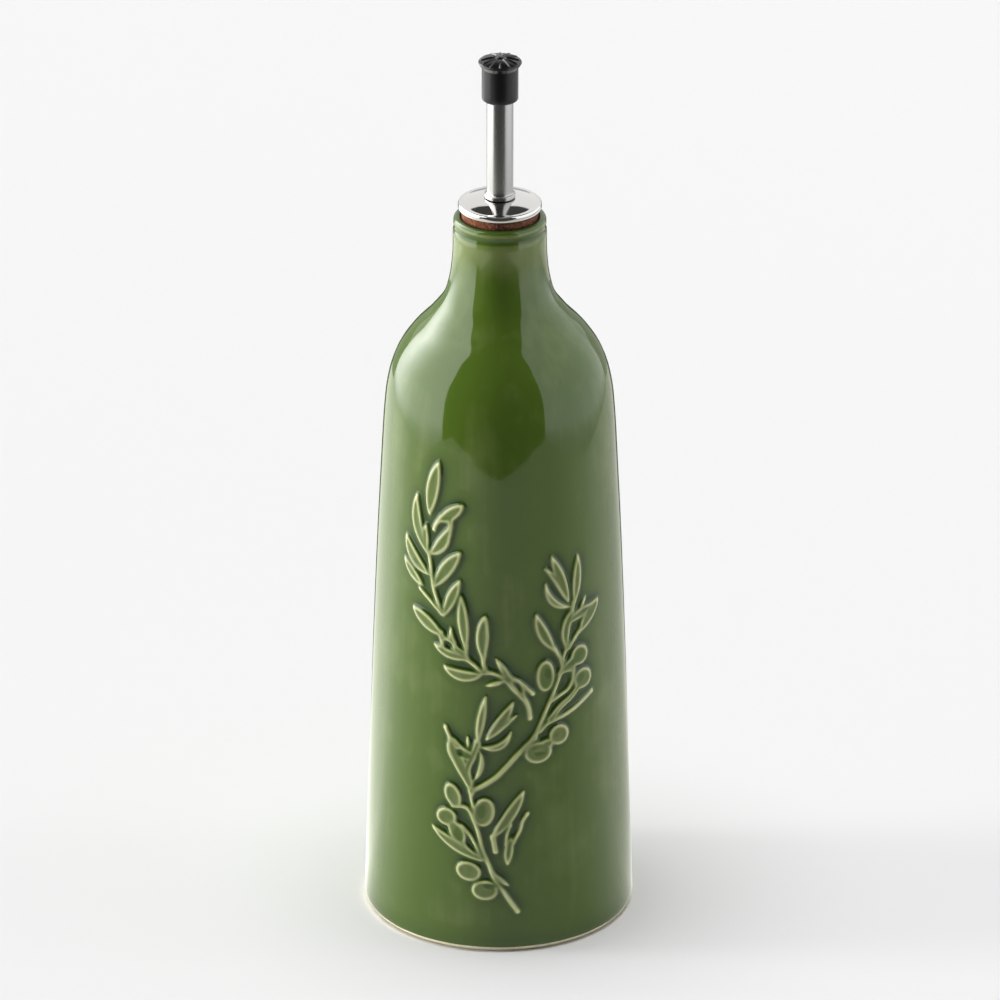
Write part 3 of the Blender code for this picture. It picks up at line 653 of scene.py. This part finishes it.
bump = add_node(
    tree,
    "ShaderNodeBump",
    {"Height": ripple.outputs[0], "Strength": RIPPLE_STRENGTH, "Distance": RIPPLE_DEPTH_MM * MM},
)
shader = add_node(
    tree,
    "ShaderNodeBsdfPrincipled",
    {
        "Base Color": surface_colour.outputs["Result"],
        "Roughness": polish.outputs["Result"],
        "IOR": 1.5,
        "Normal": bump.outputs[0],
    },
)
tree.links.new(shader.outputs[0], output.inputs["Surface"])

# Its glaze depth also carries painted shade and painted highlights, which the material colours
bottle = new_piece("glazed_bottle", points, faces, glaze, sharp=80)
set_attribute(bottle, "glaze_depth_and_painted_light", depth)
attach(bottle, "root")
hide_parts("bottle")

# The cork
# A tapered plug of natural cork, cut from bark and pressed into the mouth. Its top end is bevelled, and
# the metal flange lies on it.
CORK_CHAMFER = 0.5
CORK_COLUMNS, CORK_SPACING = 320, 0.4
# Radius in mm of the small face that closes each end of a turned piece at its middle
CORK_MIDDLE = 0.4
# Pits: how many, how far each reaches sideways in mm, how much wider they are than high, how steeply they
# sink, and how deep
PIT_COUNT = 420
PIT_SIZE_MM = (0.35, 1.3)
PIT_FLATNESS, PIT_STEEPNESS = 1.6, 1.7
PIT_DEPTH_MM = 0.28


def turned_grid(profile, columns):
    """The profile turned round the axis, by an angle a for each column: x = r sin a, y = -r cos a."""
    angle = np.arange(columns) / columns * 2 * math.pi
    x = profile[:, 0] * np.sin(angle)[:, None]
    y = -profile[:, 0] * np.cos(angle)[:, None]
    return np.stack([x, y, np.broadcast_to(profile[:, 1], x.shape)], axis=-1)


def grid_faces(columns, rows):
    """Quads round a closed ring of columns, and a face over each end.

    They face out where the profile runs down its outer side.
    """
    i, j = np.meshgrid(np.arange(columns), np.arange(rows - 1), indexing="ij")
    following = (i + 1) % columns
    here, beside = i * rows + j, following * rows + j
    quads = np.stack([here, here + 1, beside + 1, beside], axis=-1)
    start = np.arange(columns) * rows
    return quads.reshape(-1, 4).tolist() + [start.tolist(), (start + rows - 1)[::-1].tolist()]


def spaced(profile, spacing):
    """The same outline with points no further apart than the spacing in mm."""
    profile = np.array(profile)
    runs = np.linalg.norm(np.diff(profile, axis=0), axis=1)
    counts = np.maximum(np.ceil(runs / spacing), 1).astype(int)
    parts = [a + (b - a) * np.arange(n)[:, None] / n for a, b, n in zip(profile, profile[1:], counts)]
    return np.concatenate([*parts, profile[-1:]])


def turned_piece(name, grid, material):
    """A piece from a turned grid, which has a column of points for each angle."""
    columns, rows = grid.shape[:2]
    return new_piece(name, grid.reshape(-1, 3), grid_faces(columns, rows), material)


draw = np.random.default_rng(7)
cork_profile = spaced(
    [
        (CORK_MIDDLE, CORK_TOP),
        (CORK_TOP_RADIUS - CORK_CHAMFER, CORK_TOP),
        (CORK_TOP_RADIUS, CORK_TOP - CORK_CHAMFER),
        (CORK_BOTTOM_RADIUS, CORK_BOTTOM),
        (CORK_MIDDLE, CORK_BOTTOM),
    ],
    CORK_SPACING,
)
cork_points = turned_grid(cork_profile, CORK_COLUMNS)
flat = cork_points.reshape(-1, 3)
pit_angle = draw.uniform(-math.pi, math.pi, PIT_COUNT)
pit_height = draw.uniform(CORK_BOTTOM, CORK_TOP, PIT_COUNT)
pit_size = draw.uniform(*PIT_SIZE_MM, PIT_COUNT)
cork_angle = np.arctan2(flat[:, 0], -flat[:, 1])
across = (cork_angle[:, None] - pit_angle + math.pi) % (2 * math.pi) - math.pi
away = np.hypot(across * CORK_TOP_RADIUS, (flat[:, 2, None] - pit_height) * PIT_FLATNESS) / pit_size
sunk = (PIT_DEPTH_MM * np.exp(-((away * PIT_STEEPNESS) ** 2))).max(axis=1)
flat[:, :2] *= (1 - sunk / CORK_TOP_RADIUS)[:, None]

# Natural cork: bark that was cut and ground but not polished, so it is dry and matt, in reddish brown with
# dark woody specks and paler flecks
CORK_DARK, CORK_BROWN, CORK_PALE, CORK_PATCH = "#2E1A12", "#6E412B", "#A07354", "#643421"
FLECK_MM, PATCH_MM = 0.9, 3.5
CORK_BUMP, CORK_BUMP_MM, CORK_ROUGHNESS = 0.5, 0.3, 0.9

cork_skin, tree, output = new_surface("natural_cork")
place = add_node(tree, "ShaderNodeTexCoord").outputs["Object"]
flecks = add_node(tree, "ShaderNodeTexNoise", {"Vector": place, "Scale": 1 / (FLECK_MM * MM), "Detail": 4.0})
patches = add_node(tree, "ShaderNodeTexNoise", {"Vector": place, "Scale": 1 / (PATCH_MM * MM), "Detail": 2.0})
fleck_colour = add_node(tree, "ShaderNodeValToRGB", {"Fac": flecks.outputs[0]})
ramp = fleck_colour.color_ramp
ramp.elements[0].position, ramp.elements[0].color = 0.36, linear(CORK_DARK)
ramp.elements[1].position, ramp.elements[1].color = 0.66, linear(CORK_PALE)
ramp.elements.new(0.5).color = linear(CORK_BROWN)
patch_colour = add_node(
    tree,
    "ShaderNodeMix",
    {"Factor": patches.outputs[0], "A": fleck_colour.outputs["Color"], "B": linear(CORK_PATCH)},
    data_type="RGBA",
)
bump = add_node(
    tree,
    "ShaderNodeBump",
    {"Height": flecks.outputs[0], "Strength": CORK_BUMP, "Distance": CORK_BUMP_MM * MM},
)
shader = add_node(
    tree,
    "ShaderNodeBsdfPrincipled",
    {"Base Color": patch_colour.outputs["Result"], "Roughness": CORK_ROUGHNESS, "Normal": bump.outputs[0]},
)
tree.links.new(shader.outputs[0], output.inputs["Surface"])

cork = turned_piece("tapered_cork", cork_points, cork_skin)
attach(cork, "root")
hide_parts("cork")

# The flange
# A pressed disc of polished stainless steel, domed up to the spout's foot. Its rolled edge overhangs the
# cork and almost covers the bottle's rim.
FLANGE_BOTTOM, FLANGE_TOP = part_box("flange")[0][2] / MM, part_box("flange")[1][2] / MM
FLANGE_RADIUS = (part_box("flange")[1][0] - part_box("flange")[0][0]) / MM / 2
FLANGE_EDGE = 2.1
FLANGE_ROUND = 0.8
FLANGE_LIP = 0.4
SEAT_RADIUS = 5.6
# The dome falls from the seat to the edge by a power of its share of the way, and its outer end is level
DOME_POWER = 1.6
BRIM_FLAT = 0.9
DOME_POINTS, DOME_SMOOTHED = 48, 5
POURER_COLUMNS = 256
POURER_MIDDLE = 0.3

edge_top = FLANGE_BOTTOM + FLANGE_EDGE
inner = FLANGE_RADIUS - FLANGE_ROUND
share = np.linspace(0, 1, DOME_POINTS)
fallen = np.pad(np.minimum(share / BRIM_FLAT, 1) ** DOME_POWER, DOME_SMOOTHED // 2, mode="edge")
fallen = np.convolve(fallen, np.full(DOME_SMOOTHED, 1 / DOME_SMOOTHED), mode="valid")
dome_radius = SEAT_RADIUS + (inner - SEAT_RADIUS) * share
dome = np.stack([dome_radius, FLANGE_TOP + (edge_top - FLANGE_TOP) * fallen], axis=1)
flange_profile = np.concatenate(
    [
        [(POURER_MIDDLE, FLANGE_TOP)],
        dome,
        arc((inner, edge_top - FLANGE_ROUND), FLANGE_ROUND, 90, 0, 9)[1:],
        arc((FLANGE_RADIUS - FLANGE_LIP, FLANGE_BOTTOM + FLANGE_LIP), FLANGE_LIP, 0, -90, 7),
        [(POURER_MIDDLE, FLANGE_BOTTOM)],
    ]
)

# Polished stainless steel: mirror-bright, so it shows the room and the tube that stands on it, with
# hair-fine rings from the polishing wheel that dull it a little
POLISHED_STEEL = "#D6D5D2"
POLISH_RING_MM = 1.2
POLISH_ROUGHNESS = (0.05, 0.09)

polished, tree, output = new_surface("polished_stainless_steel")
place = add_node(tree, "ShaderNodeTexCoord").outputs["Object"]
rings = add_node(
    tree,
    "ShaderNodeTexWave",
    {
        "Vector": place,
        "Scale": 1 / (POLISH_RING_MM * MM),
        "Distortion": 0.6,
        "Detail": 2.0,
        "Detail Scale": 1.5,
    },
    wave_type="RINGS",
    rings_direction="Z",
)
rub = add_node(
    tree,
    "ShaderNodeMapRange",
    {"Value": rings.outputs["Fac"], "To Min": POLISH_ROUGHNESS[0], "To Max": POLISH_ROUGHNESS[1]},
)
shader = add_node(
    tree,
    "ShaderNodeBsdfPrincipled",
    {"Base Color": linear(POLISHED_STEEL), "Metallic": 1.0, "Roughness": rub.outputs["Result"]},
)
tree.links.new(shader.outputs[0], output.inputs["Surface"])

flange = turned_piece("steel_flange", turned_grid(flange_profile, POURER_COLUMNS), polished)
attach(flange, "root")
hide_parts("flange")

# The spout
# A straight drawn tube of stainless steel on a short turned collar, which is brazed to the flange. The
# cap's sleeve hides its upper end.
SPOUT_FOOT, SPOUT_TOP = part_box("spout")[0][2] / MM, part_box("spout")[1][2] / MM
COLLAR_RADIUS = (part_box("spout")[1][0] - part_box("spout")[0][0]) / MM / 2
SPOUT_RADIUS = 4.45
COLLAR_HEIGHT = 1.4
COLLAR_ROUND = 0.3
COLLAR_BEVEL = 0.1
COLLAR_FILLET = 0.6
TUBE_END_ROUND = 0.5

collar = SPOUT_FOOT + COLLAR_HEIGHT
# The fillet between tube and collar is a quadratic curve, drawn into their corner
t = np.linspace(0, 1, 8)[:, None]
fillet = (1 - t) ** 2 * (SPOUT_RADIUS, collar + COLLAR_FILLET)
fillet = fillet + 2 * t * (1 - t) * (SPOUT_RADIUS, collar)
fillet = fillet + t**2 * (COLLAR_RADIUS - COLLAR_ROUND, collar)
spout_profile = np.concatenate(
    [
        [(POURER_MIDDLE, SPOUT_TOP)],
        arc((SPOUT_RADIUS - TUBE_END_ROUND, SPOUT_TOP - TUBE_END_ROUND), TUBE_END_ROUND, 90, 0, 6),
        fillet,
        arc((COLLAR_RADIUS - COLLAR_ROUND, collar - COLLAR_ROUND), COLLAR_ROUND, 90, 0, 6)[1:],
        [(COLLAR_RADIUS, SPOUT_FOOT + COLLAR_BEVEL), (COLLAR_RADIUS - COLLAR_BEVEL, SPOUT_FOOT)],
        [(POURER_MIDDLE, SPOUT_FOOT)],
    ]
)

# Satin stainless steel: drawn through a die and lightly brushed, so it has fine lines along the tube and
# mirrors the room softly
SATIN_STEEL = "#AFAFAC"
DRAWN_LINE_MM, DRAWN_STRETCH = 0.35, 0.03
DRAWN_BUMP, DRAWN_BUMP_MM = 0.06, 0.05
SATIN_ROUGHNESS = (0.2, 0.3)

satin, tree, output = new_surface("drawn_stainless_steel")
place = add_node(tree, "ShaderNodeTexCoord").outputs["Object"]
drawn = add_node(tree, "ShaderNodeMapping", {"Vector": place, "Scale": (1.0, 1.0, DRAWN_STRETCH)})
lines = add_node(
    tree,
    "ShaderNodeTexNoise",
    {"Vector": drawn.outputs[0], "Scale": 1 / (DRAWN_LINE_MM * MM), "Detail": 3.0},
)
rub = add_node(
    tree,
    "ShaderNodeMapRange",
    {"Value": lines.outputs[0], "To Min": SATIN_ROUGHNESS[0], "To Max": SATIN_ROUGHNESS[1]},
)
bump = add_node(
    tree,
    "ShaderNodeBump",
    {"Height": lines.outputs[0], "Strength": DRAWN_BUMP, "Distance": DRAWN_BUMP_MM * MM},
)
shader = add_node(
    tree,
    "ShaderNodeBsdfPrincipled",
    {
        "Base Color": linear(SATIN_STEEL),
        "Metallic": 1.0,
        "Roughness": rub.outputs["Result"],
        "Normal": bump.outputs[0],
    },
)
tree.links.new(shader.outputs[0], output.inputs["Surface"])

spout = turned_piece("steel_spout", turned_grid(spout_profile, POURER_COLUMNS), satin)
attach(spout, "root")
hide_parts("spout")

# The cap
# A push-on cap moulded in black rubber-like plastic. A plain sleeve grips the tube, and above it flares a
# crown with thin ribs round a small knob at its middle, where the mould was filled.
CAP_BOTTOM, CAP_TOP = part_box("cap")[0][2] / MM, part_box("cap")[1][2] / MM
CAP_RADIUS = 6.1
CAP_LIP = 0.6
CAP_NECK = 307.1
CAP_RIM, CAP_RIM_RADIUS, CAP_RIM_ROUND = 308.9, 7.25, 0.5
CAP_FLARE_TOP = (CAP_RIM_RADIUS - 0.16, CAP_RIM - 0.42)
CAP_BORE_BEVEL = 0.1
CAP_MIDDLE = 0.15
KNOB_RADIUS, KNOB_HEIGHT, KNOB_ROUND = 1.2, 0.5, 0.3
KNOB_POINTS = 5
CAP_CROWN = CAP_TOP - KNOB_HEIGHT
# Ribs: how many, their half width at the foot and their height, the radii where they start and end, and
# over how far they rise and fall there
RIB_COUNT = 12
RIB_HALF, RIB_HEIGHT = 0.4, 0.45
RIB_START, RIB_END = 1.7, 7.0
RIB_RISE, RIB_FALL = 0.5, 0.9
CAP_COLUMNS = 768


def crown_height(radius):
    """The crown's top: a shallow parabola from its middle to the rim."""
    edge = CAP_RIM_RADIUS - CAP_RIM_ROUND
    return CAP_CROWN - (CAP_CROWN - CAP_RIM - CAP_RIM_ROUND) * (radius / edge) ** 2


crown_radius = np.linspace(KNOB_RADIUS + 0.05, CAP_RIM_RADIUS - CAP_RIM_ROUND, 22)[:-1]
sleeve_bore = SPOUT_RADIUS + GAP
cap_profile = np.concatenate(
    [
        [(CAP_MIDDLE, CAP_TOP)],
        arc((KNOB_RADIUS - KNOB_ROUND, CAP_TOP - KNOB_ROUND), KNOB_ROUND, 90, 0, KNOB_POINTS),
        np.stack([crown_radius, crown_height(crown_radius)], axis=1),
        arc((CAP_RIM_RADIUS - CAP_RIM_ROUND, CAP_RIM), CAP_RIM_ROUND, 90, -45, 9),
        np.linspace(CAP_FLARE_TOP, (CAP_RADIUS, CAP_NECK), 7)[1:],
        np.linspace((CAP_RADIUS, CAP_NECK), (CAP_RADIUS, CAP_BOTTOM + CAP_LIP), 8)[1:-1],
        arc((CAP_RADIUS - CAP_LIP, CAP_BOTTOM + CAP_LIP), CAP_LIP, 0, -90, 8),
        [(sleeve_bore + CAP_BORE_BEVEL, CAP_BOTTOM), (sleeve_bore, CAP_BOTTOM + CAP_BORE_BEVEL)],
        [(sleeve_bore, SPOUT_TOP + GAP), (CAP_MIDDLE, SPOUT_TOP + GAP)],
    ]
)
cap_points = turned_grid(cap_profile, CAP_COLUMNS)
cap_radius = cap_profile[:, 0]
cap_angle = np.arange(CAP_COLUMNS) / CAP_COLUMNS * 2 * math.pi
rib_turn = 2 * math.pi / RIB_COUNT
from_rib = np.abs((cap_angle + rib_turn / 2) % rib_turn - rib_turn / 2)[:, None] * cap_radius
past_knob = np.arange(len(cap_profile)) > KNOB_POINTS
rising = smooth_step(RIB_START, RIB_START + RIB_RISE, cap_radius)
falling = smooth_step(RIB_END, RIB_END - RIB_FALL, cap_radius)
ribs = RIB_HEIGHT * smooth_step(RIB_HALF, 0.0, from_rib) * (rising * falling * past_knob)
top_side = smooth_step(CAP_RIM, CAP_RIM + CAP_RIM_ROUND, cap_profile[:, 1])
cap_points[..., 2] += ribs * top_side

# Moulded rubber-like plastic: black and smooth from the mould, whose fine grain softens its shine a little
CAP_BLACK, CAP_GREY = "#08080A", "#121214"
GRAIN_MM, GRAIN_BUMP, GRAIN_BUMP_MM = 0.4, 0.12, 0.1
CAP_ROUGHNESS = (0.16, 0.22)

moulded, tree, output = new_surface("moulded_black_rubber")
place = add_node(tree, "ShaderNodeTexCoord").outputs["Object"]
grain = add_node(tree, "ShaderNodeTexNoise", {"Vector": place, "Scale": 1 / (GRAIN_MM * MM), "Detail": 3.0})
tint = add_node(tree, "ShaderNodeValToRGB", {"Fac": grain.outputs[0]})
ramp = tint.color_ramp
ramp.elements[0].position, ramp.elements[0].color = 0.3, linear(CAP_BLACK)
ramp.elements[1].position, ramp.elements[1].color = 0.7, linear(CAP_GREY)
rub = add_node(
    tree,
    "ShaderNodeMapRange",
    {"Value": grain.outputs[0], "To Min": CAP_ROUGHNESS[0], "To Max": CAP_ROUGHNESS[1]},
)
bump = add_node(
    tree,
    "ShaderNodeBump",
    {"Height": grain.outputs[0], "Strength": GRAIN_BUMP, "Distance": GRAIN_BUMP_MM * MM},
)
shader = add_node(
    tree,
    "ShaderNodeBsdfPrincipled",
    {
        "Base Color": tint.outputs["Color"],
        "Roughness": rub.outputs["Result"],
        "IOR": 1.5,
        "Normal": bump.outputs[0],
    },
)
tree.links.new(shader.outputs[0], output.inputs["Surface"])

cap = turned_piece("black_cap", cap_points, moulded)
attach(cap, "root")
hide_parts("cap")

# The table and the room
# A glossy white table stands in a pale room, under a wide soft light and between two bright cloth screens,
# of which the left one is the stronger. The room's front, its ceiling and a low strip behind the table are
# dark and its back wall is pale, all out of the camera's sight. Places are in metres.
TABLE_LEFT, TABLE_RIGHT = -0.56, 0.52
TABLE_FRONT, TABLE_BACK = -0.55, 0.60
SURROUND = 6.0
SCREEN_REACH = 1.1
SCREEN_LOW, SCREEN_HIGH = -0.9, 3.0
SCREEN_BACK = 1.3
LEFT_SCREEN_START, RIGHT_SCREEN_START = math.radians(57), math.radians(45)
LEFT_SCREEN_POWERS, RIGHT_SCREEN_POWERS = (0.6, 3.4), (0.5, 1.5)
SCREEN_FADE = (-0.3, 0.0)
# A lamp behind the left screen brightens it round one place, by so much and with such a spread
LAMP_PLACE, LAMP_SPREAD, LAMP_POWER = (-SCREEN_REACH, 0.77, 0.9), (0.9, 0.9, 1.5), 9.0
DARK_ROOM = "#464646"
DARK_HALF, DARK_REACH, DARK_LOW, DARK_TOP = 4.0, 1.5, -1.5, 7.0
DARK_BACK_HALF, DARK_BACK_TOP, DARK_BACK_GAP = 0.2, 0.08, 0.02
BACK_HALF, BACK_REACH, BACK_LOW, BACK_TOP = 2.5, 1.6, 0.3, 1.75
BACK_POWER = 1.05
CEILING_HALF, CEILING_FRONT, CEILING_HIGH = 1.6, 0.3, 2.3
ROOM_LIGHT = 0.45
TABLE_WHITE = "#EAEAEA"
# The table's sheen, as (direction, power), with directions as a share of a turn from straight left by way of
# the front: it is brightest at the left and the left rear, and dark straight behind the cruet
SHEEN = (
    (0.0, 1.5), (0.03, 1.3), (0.09, 0.95), (0.25, 0.75), (0.39, 0.62), (0.53, 1.2), (0.63, 0.95), (0.68, 1.0),
    (0.695, 0.05), (0.805, 0.05), (0.82, 1.5), (0.89, 2.0), (0.94, 2.3), (0.97, 1.8), (1.0, 1.5),
)
SHEEN_DROP = 0.0001
SHEEN_SCALE = 3.0
SHEEN_TINT = (1.0, 1.0, 0.92)
# Sun lamps: name, power, and in degrees their spread and their lean to the left from overhead
SOFT_LIGHTS = (("overhead", 2.55, 45, 4), ("left_light", 7.6, 16, 89), ("right_light", 1.4, 16, -89))

# The camera stands straight in front, far off, and looks down
VIEW_DISTANCE = 3.8
VIEW_ELEVATION = math.radians(25.175)
VIEW_HEIGHT = 0.14846
VIEW_ROLL = math.radians(0.09)
VIEW_LENS = 405.07
VIEW_SHIFT = 0.0006
VIEW_END = 50


def stage_card(name, corners, surface, seen_by):
    """A flat card through its four corners, shown only to the kinds of ray named."""
    mesh = bpy.data.meshes.new(name)
    mesh.from_pydata(corners, [], [(0, 1, 2, 3)])
    mesh.materials.append(surface)
    card = bpy.data.objects.new(name, mesh)
    scene.collection.objects.link(card)
    for ray in ("camera", "diffuse", "glossy", "transmission", "shadow"):
        setattr(card, f"visible_{ray}", ray in seen_by)


def floor_corners(left, right, front, back, height):
    """The corners of a level card."""
    return [(left, front, height), (right, front, height), (right, back, height), (left, back, height)]


def wall_corners(half, reach, low, high):
    """The corners of a card that stands across the room, in front where its reach is negative."""
    return [(-half, reach, low), (half, reach, low), (half, reach, high), (-half, reach, high)]


def screen_corners(side, start):
    """The corners of a card that stands at one side, from an angle off straight ahead to behind the table."""
    near = -SCREEN_REACH / math.tan(start)
    ends = ((near, SCREEN_LOW), (SCREEN_BACK, SCREEN_LOW), (SCREEN_BACK, SCREEN_HIGH), (near, SCREEN_HIGH))
    return [(side * SCREEN_REACH, *end) for end in ends]


def glowing(name, colour, power):
    """A surface that only glows, its node tree and its light node."""
    surface, tree, output = new_surface(name)
    light = add_node(tree, "ShaderNodeEmission", {"Color": linear(colour), "Strength": power})
    tree.links.new(light.outputs[0], output.inputs["Surface"])
    return surface, tree, light


def cloth(name, colour, powers):
    """A lit cloth screen, dimmer below, and the nodes with its light, its places and its shade by height."""
    surface, tree, light = glowing(name, colour, 1.0)
    place = add_node(tree, "ShaderNodeTexCoord").outputs["Object"]
    height = add_node(tree, "ShaderNodeSeparateXYZ", {0: place}).outputs["Z"]
    shade = add_node(
        tree,
        "ShaderNodeMapRange",
        {
            "Value": height,
            "From Min": SCREEN_FADE[0],
            "From Max": SCREEN_FADE[1],
            "To Min": powers[0],
            "To Max": powers[1],
        },
        interpolation_type="SMOOTHSTEP",
    )
    tree.links.new(shade.outputs["Result"], light.inputs["Strength"])
    return surface, tree, light, place, shade


table_paint, tree, output = new_surface("white_table")
paint = add_node(tree, "ShaderNodeBsdfDiffuse", {"Color": linear(TABLE_WHITE), "Roughness": 0.5})
tree.links.new(paint.outputs[0], output.inputs["Surface"])
surround = floor_corners(-SURROUND, SURROUND, -SURROUND, SURROUND, 0.0)
stage_card("table_surround", surround, table_paint, {"camera", "diffuse", "shadow"})

# The sheen is painted reflection: a card just under the table that glows only in reflections, by the powers
# above
table_sheen, tree, light = glowing("table_sheen", "#FFFFFF", SHEEN_SCALE)
place = add_node(tree, "ShaderNodeTexCoord").outputs["Object"]
around = add_node(tree, "ShaderNodeTexGradient", {"Vector": place}, gradient_type="RADIAL")
brightness = add_node(tree, "ShaderNodeValToRGB", {"Fac": around.outputs["Fac"]})
ramp = brightness.color_ramp
ramp.elements[1].position = SHEEN[-1][0]
for position, _ in SHEEN[1:-1]:
    ramp.elements.new(position)
for element, (_, power) in zip(ramp.elements, SHEEN):
    element.color = (*[power / SHEEN_SCALE * part for part in SHEEN_TINT], 1.0)
tree.links.new(brightness.outputs["Color"], light.inputs["Color"])
table = floor_corners(TABLE_LEFT, TABLE_RIGHT, TABLE_FRONT, TABLE_BACK, -SHEEN_DROP)
stage_card("table_sheen", table, table_sheen, {"glossy"})

left_cloth, tree, light, place, shade = cloth("left_cloth", "#FFFFFF", LEFT_SCREEN_POWERS)
to_lamp = add_node(
    tree,
    "ShaderNodeMapping",
    {
        "Vector": place,
        "Location": [-part / spread for part, spread in zip(LAMP_PLACE, LAMP_SPREAD)],
        "Scale": [1 / spread for spread in LAMP_SPREAD],
    },
)
lamp = add_node(
    tree, "ShaderNodeTexGradient", {"Vector": to_lamp.outputs[0]}, gradient_type="QUADRATIC_SPHERE"
)
lit = add_node(
    tree,
    "ShaderNodeMath",
    {0: lamp.outputs["Fac"], 1: LAMP_POWER, 2: shade.outputs["Result"]},
    operation="MULTIPLY_ADD",
)
tree.links.new(lit.outputs[0], light.inputs["Strength"])
stage_card("left_screen", screen_corners(-1, LEFT_SCREEN_START), left_cloth, {"glossy"})
right_cloth = cloth("right_cloth", "#FAFCFF", RIGHT_SCREEN_POWERS)[0]
stage_card("right_screen", screen_corners(1, RIGHT_SCREEN_START), right_cloth, {"glossy"})

dark_room = glowing("dark_room", DARK_ROOM, 1.0)[0]
dark_front = wall_corners(DARK_HALF, -DARK_REACH, DARK_LOW, DARK_TOP)
stage_card("dark_front", dark_front, dark_room, {"diffuse", "glossy"})
dark_back = wall_corners(DARK_BACK_HALF, TABLE_BACK + DARK_BACK_GAP, DARK_LOW, DARK_BACK_TOP)
stage_card("dark_back", dark_back, dark_room, {"glossy"})
ceiling = [(side * CEILING_HALF, BACK_REACH, BACK_TOP) for side in (-1, 1)]
ceiling += [(side * CEILING_HALF, CEILING_FRONT, CEILING_HIGH) for side in (1, -1)]
stage_card("dark_ceiling", ceiling, dark_room, {"glossy"})
pale_back = glowing("pale_back", "#FFFFFF", BACK_POWER)[0]
stage_card("pale_back", wall_corners(BACK_HALF, BACK_REACH, BACK_LOW, BACK_TOP), pale_back, {"glossy"})

for name, power, spread, lean in SOFT_LIGHTS:
    lamp = bpy.data.objects.new(name, bpy.data.lights.new(name, "SUN"))
    scene.collection.objects.link(lamp)
    lamp.data.energy = power
    lamp.data.angle = math.radians(spread)
    lamp.rotation_euler = (0, -math.radians(lean), 0)
    lamp.visible_glossy = False

world = bpy.data.worlds.new("pale_room")
scene.world = world
world.use_nodes = True
world.node_tree.nodes["Background"].inputs["Color"].default_value = linear("#FFFFFF")
world.node_tree.nodes["Background"].inputs["Strength"].default_value = ROOM_LIGHT

camera = bpy.data.objects.new("camera", bpy.data.cameras.new("camera"))
scene.collection.objects.link(camera)
camera.data.lens = VIEW_LENS
camera.data.shift_x = VIEW_SHIFT
camera.data.clip_end = VIEW_END
camera.location = (
    0,
    -VIEW_DISTANCE * math.cos(VIEW_ELEVATION),
    VIEW_HEIGHT + VIEW_DISTANCE * math.sin(VIEW_ELEVATION),
)
turn = Matrix.Rotation(math.pi / 2 - VIEW_ELEVATION, 3, "X") @ Matrix.Rotation(VIEW_ROLL, 3, "Z")
camera.rotation_euler = turn.to_euler()
scene.camera = camera
scene.view_settings.view_transform = "Standard"
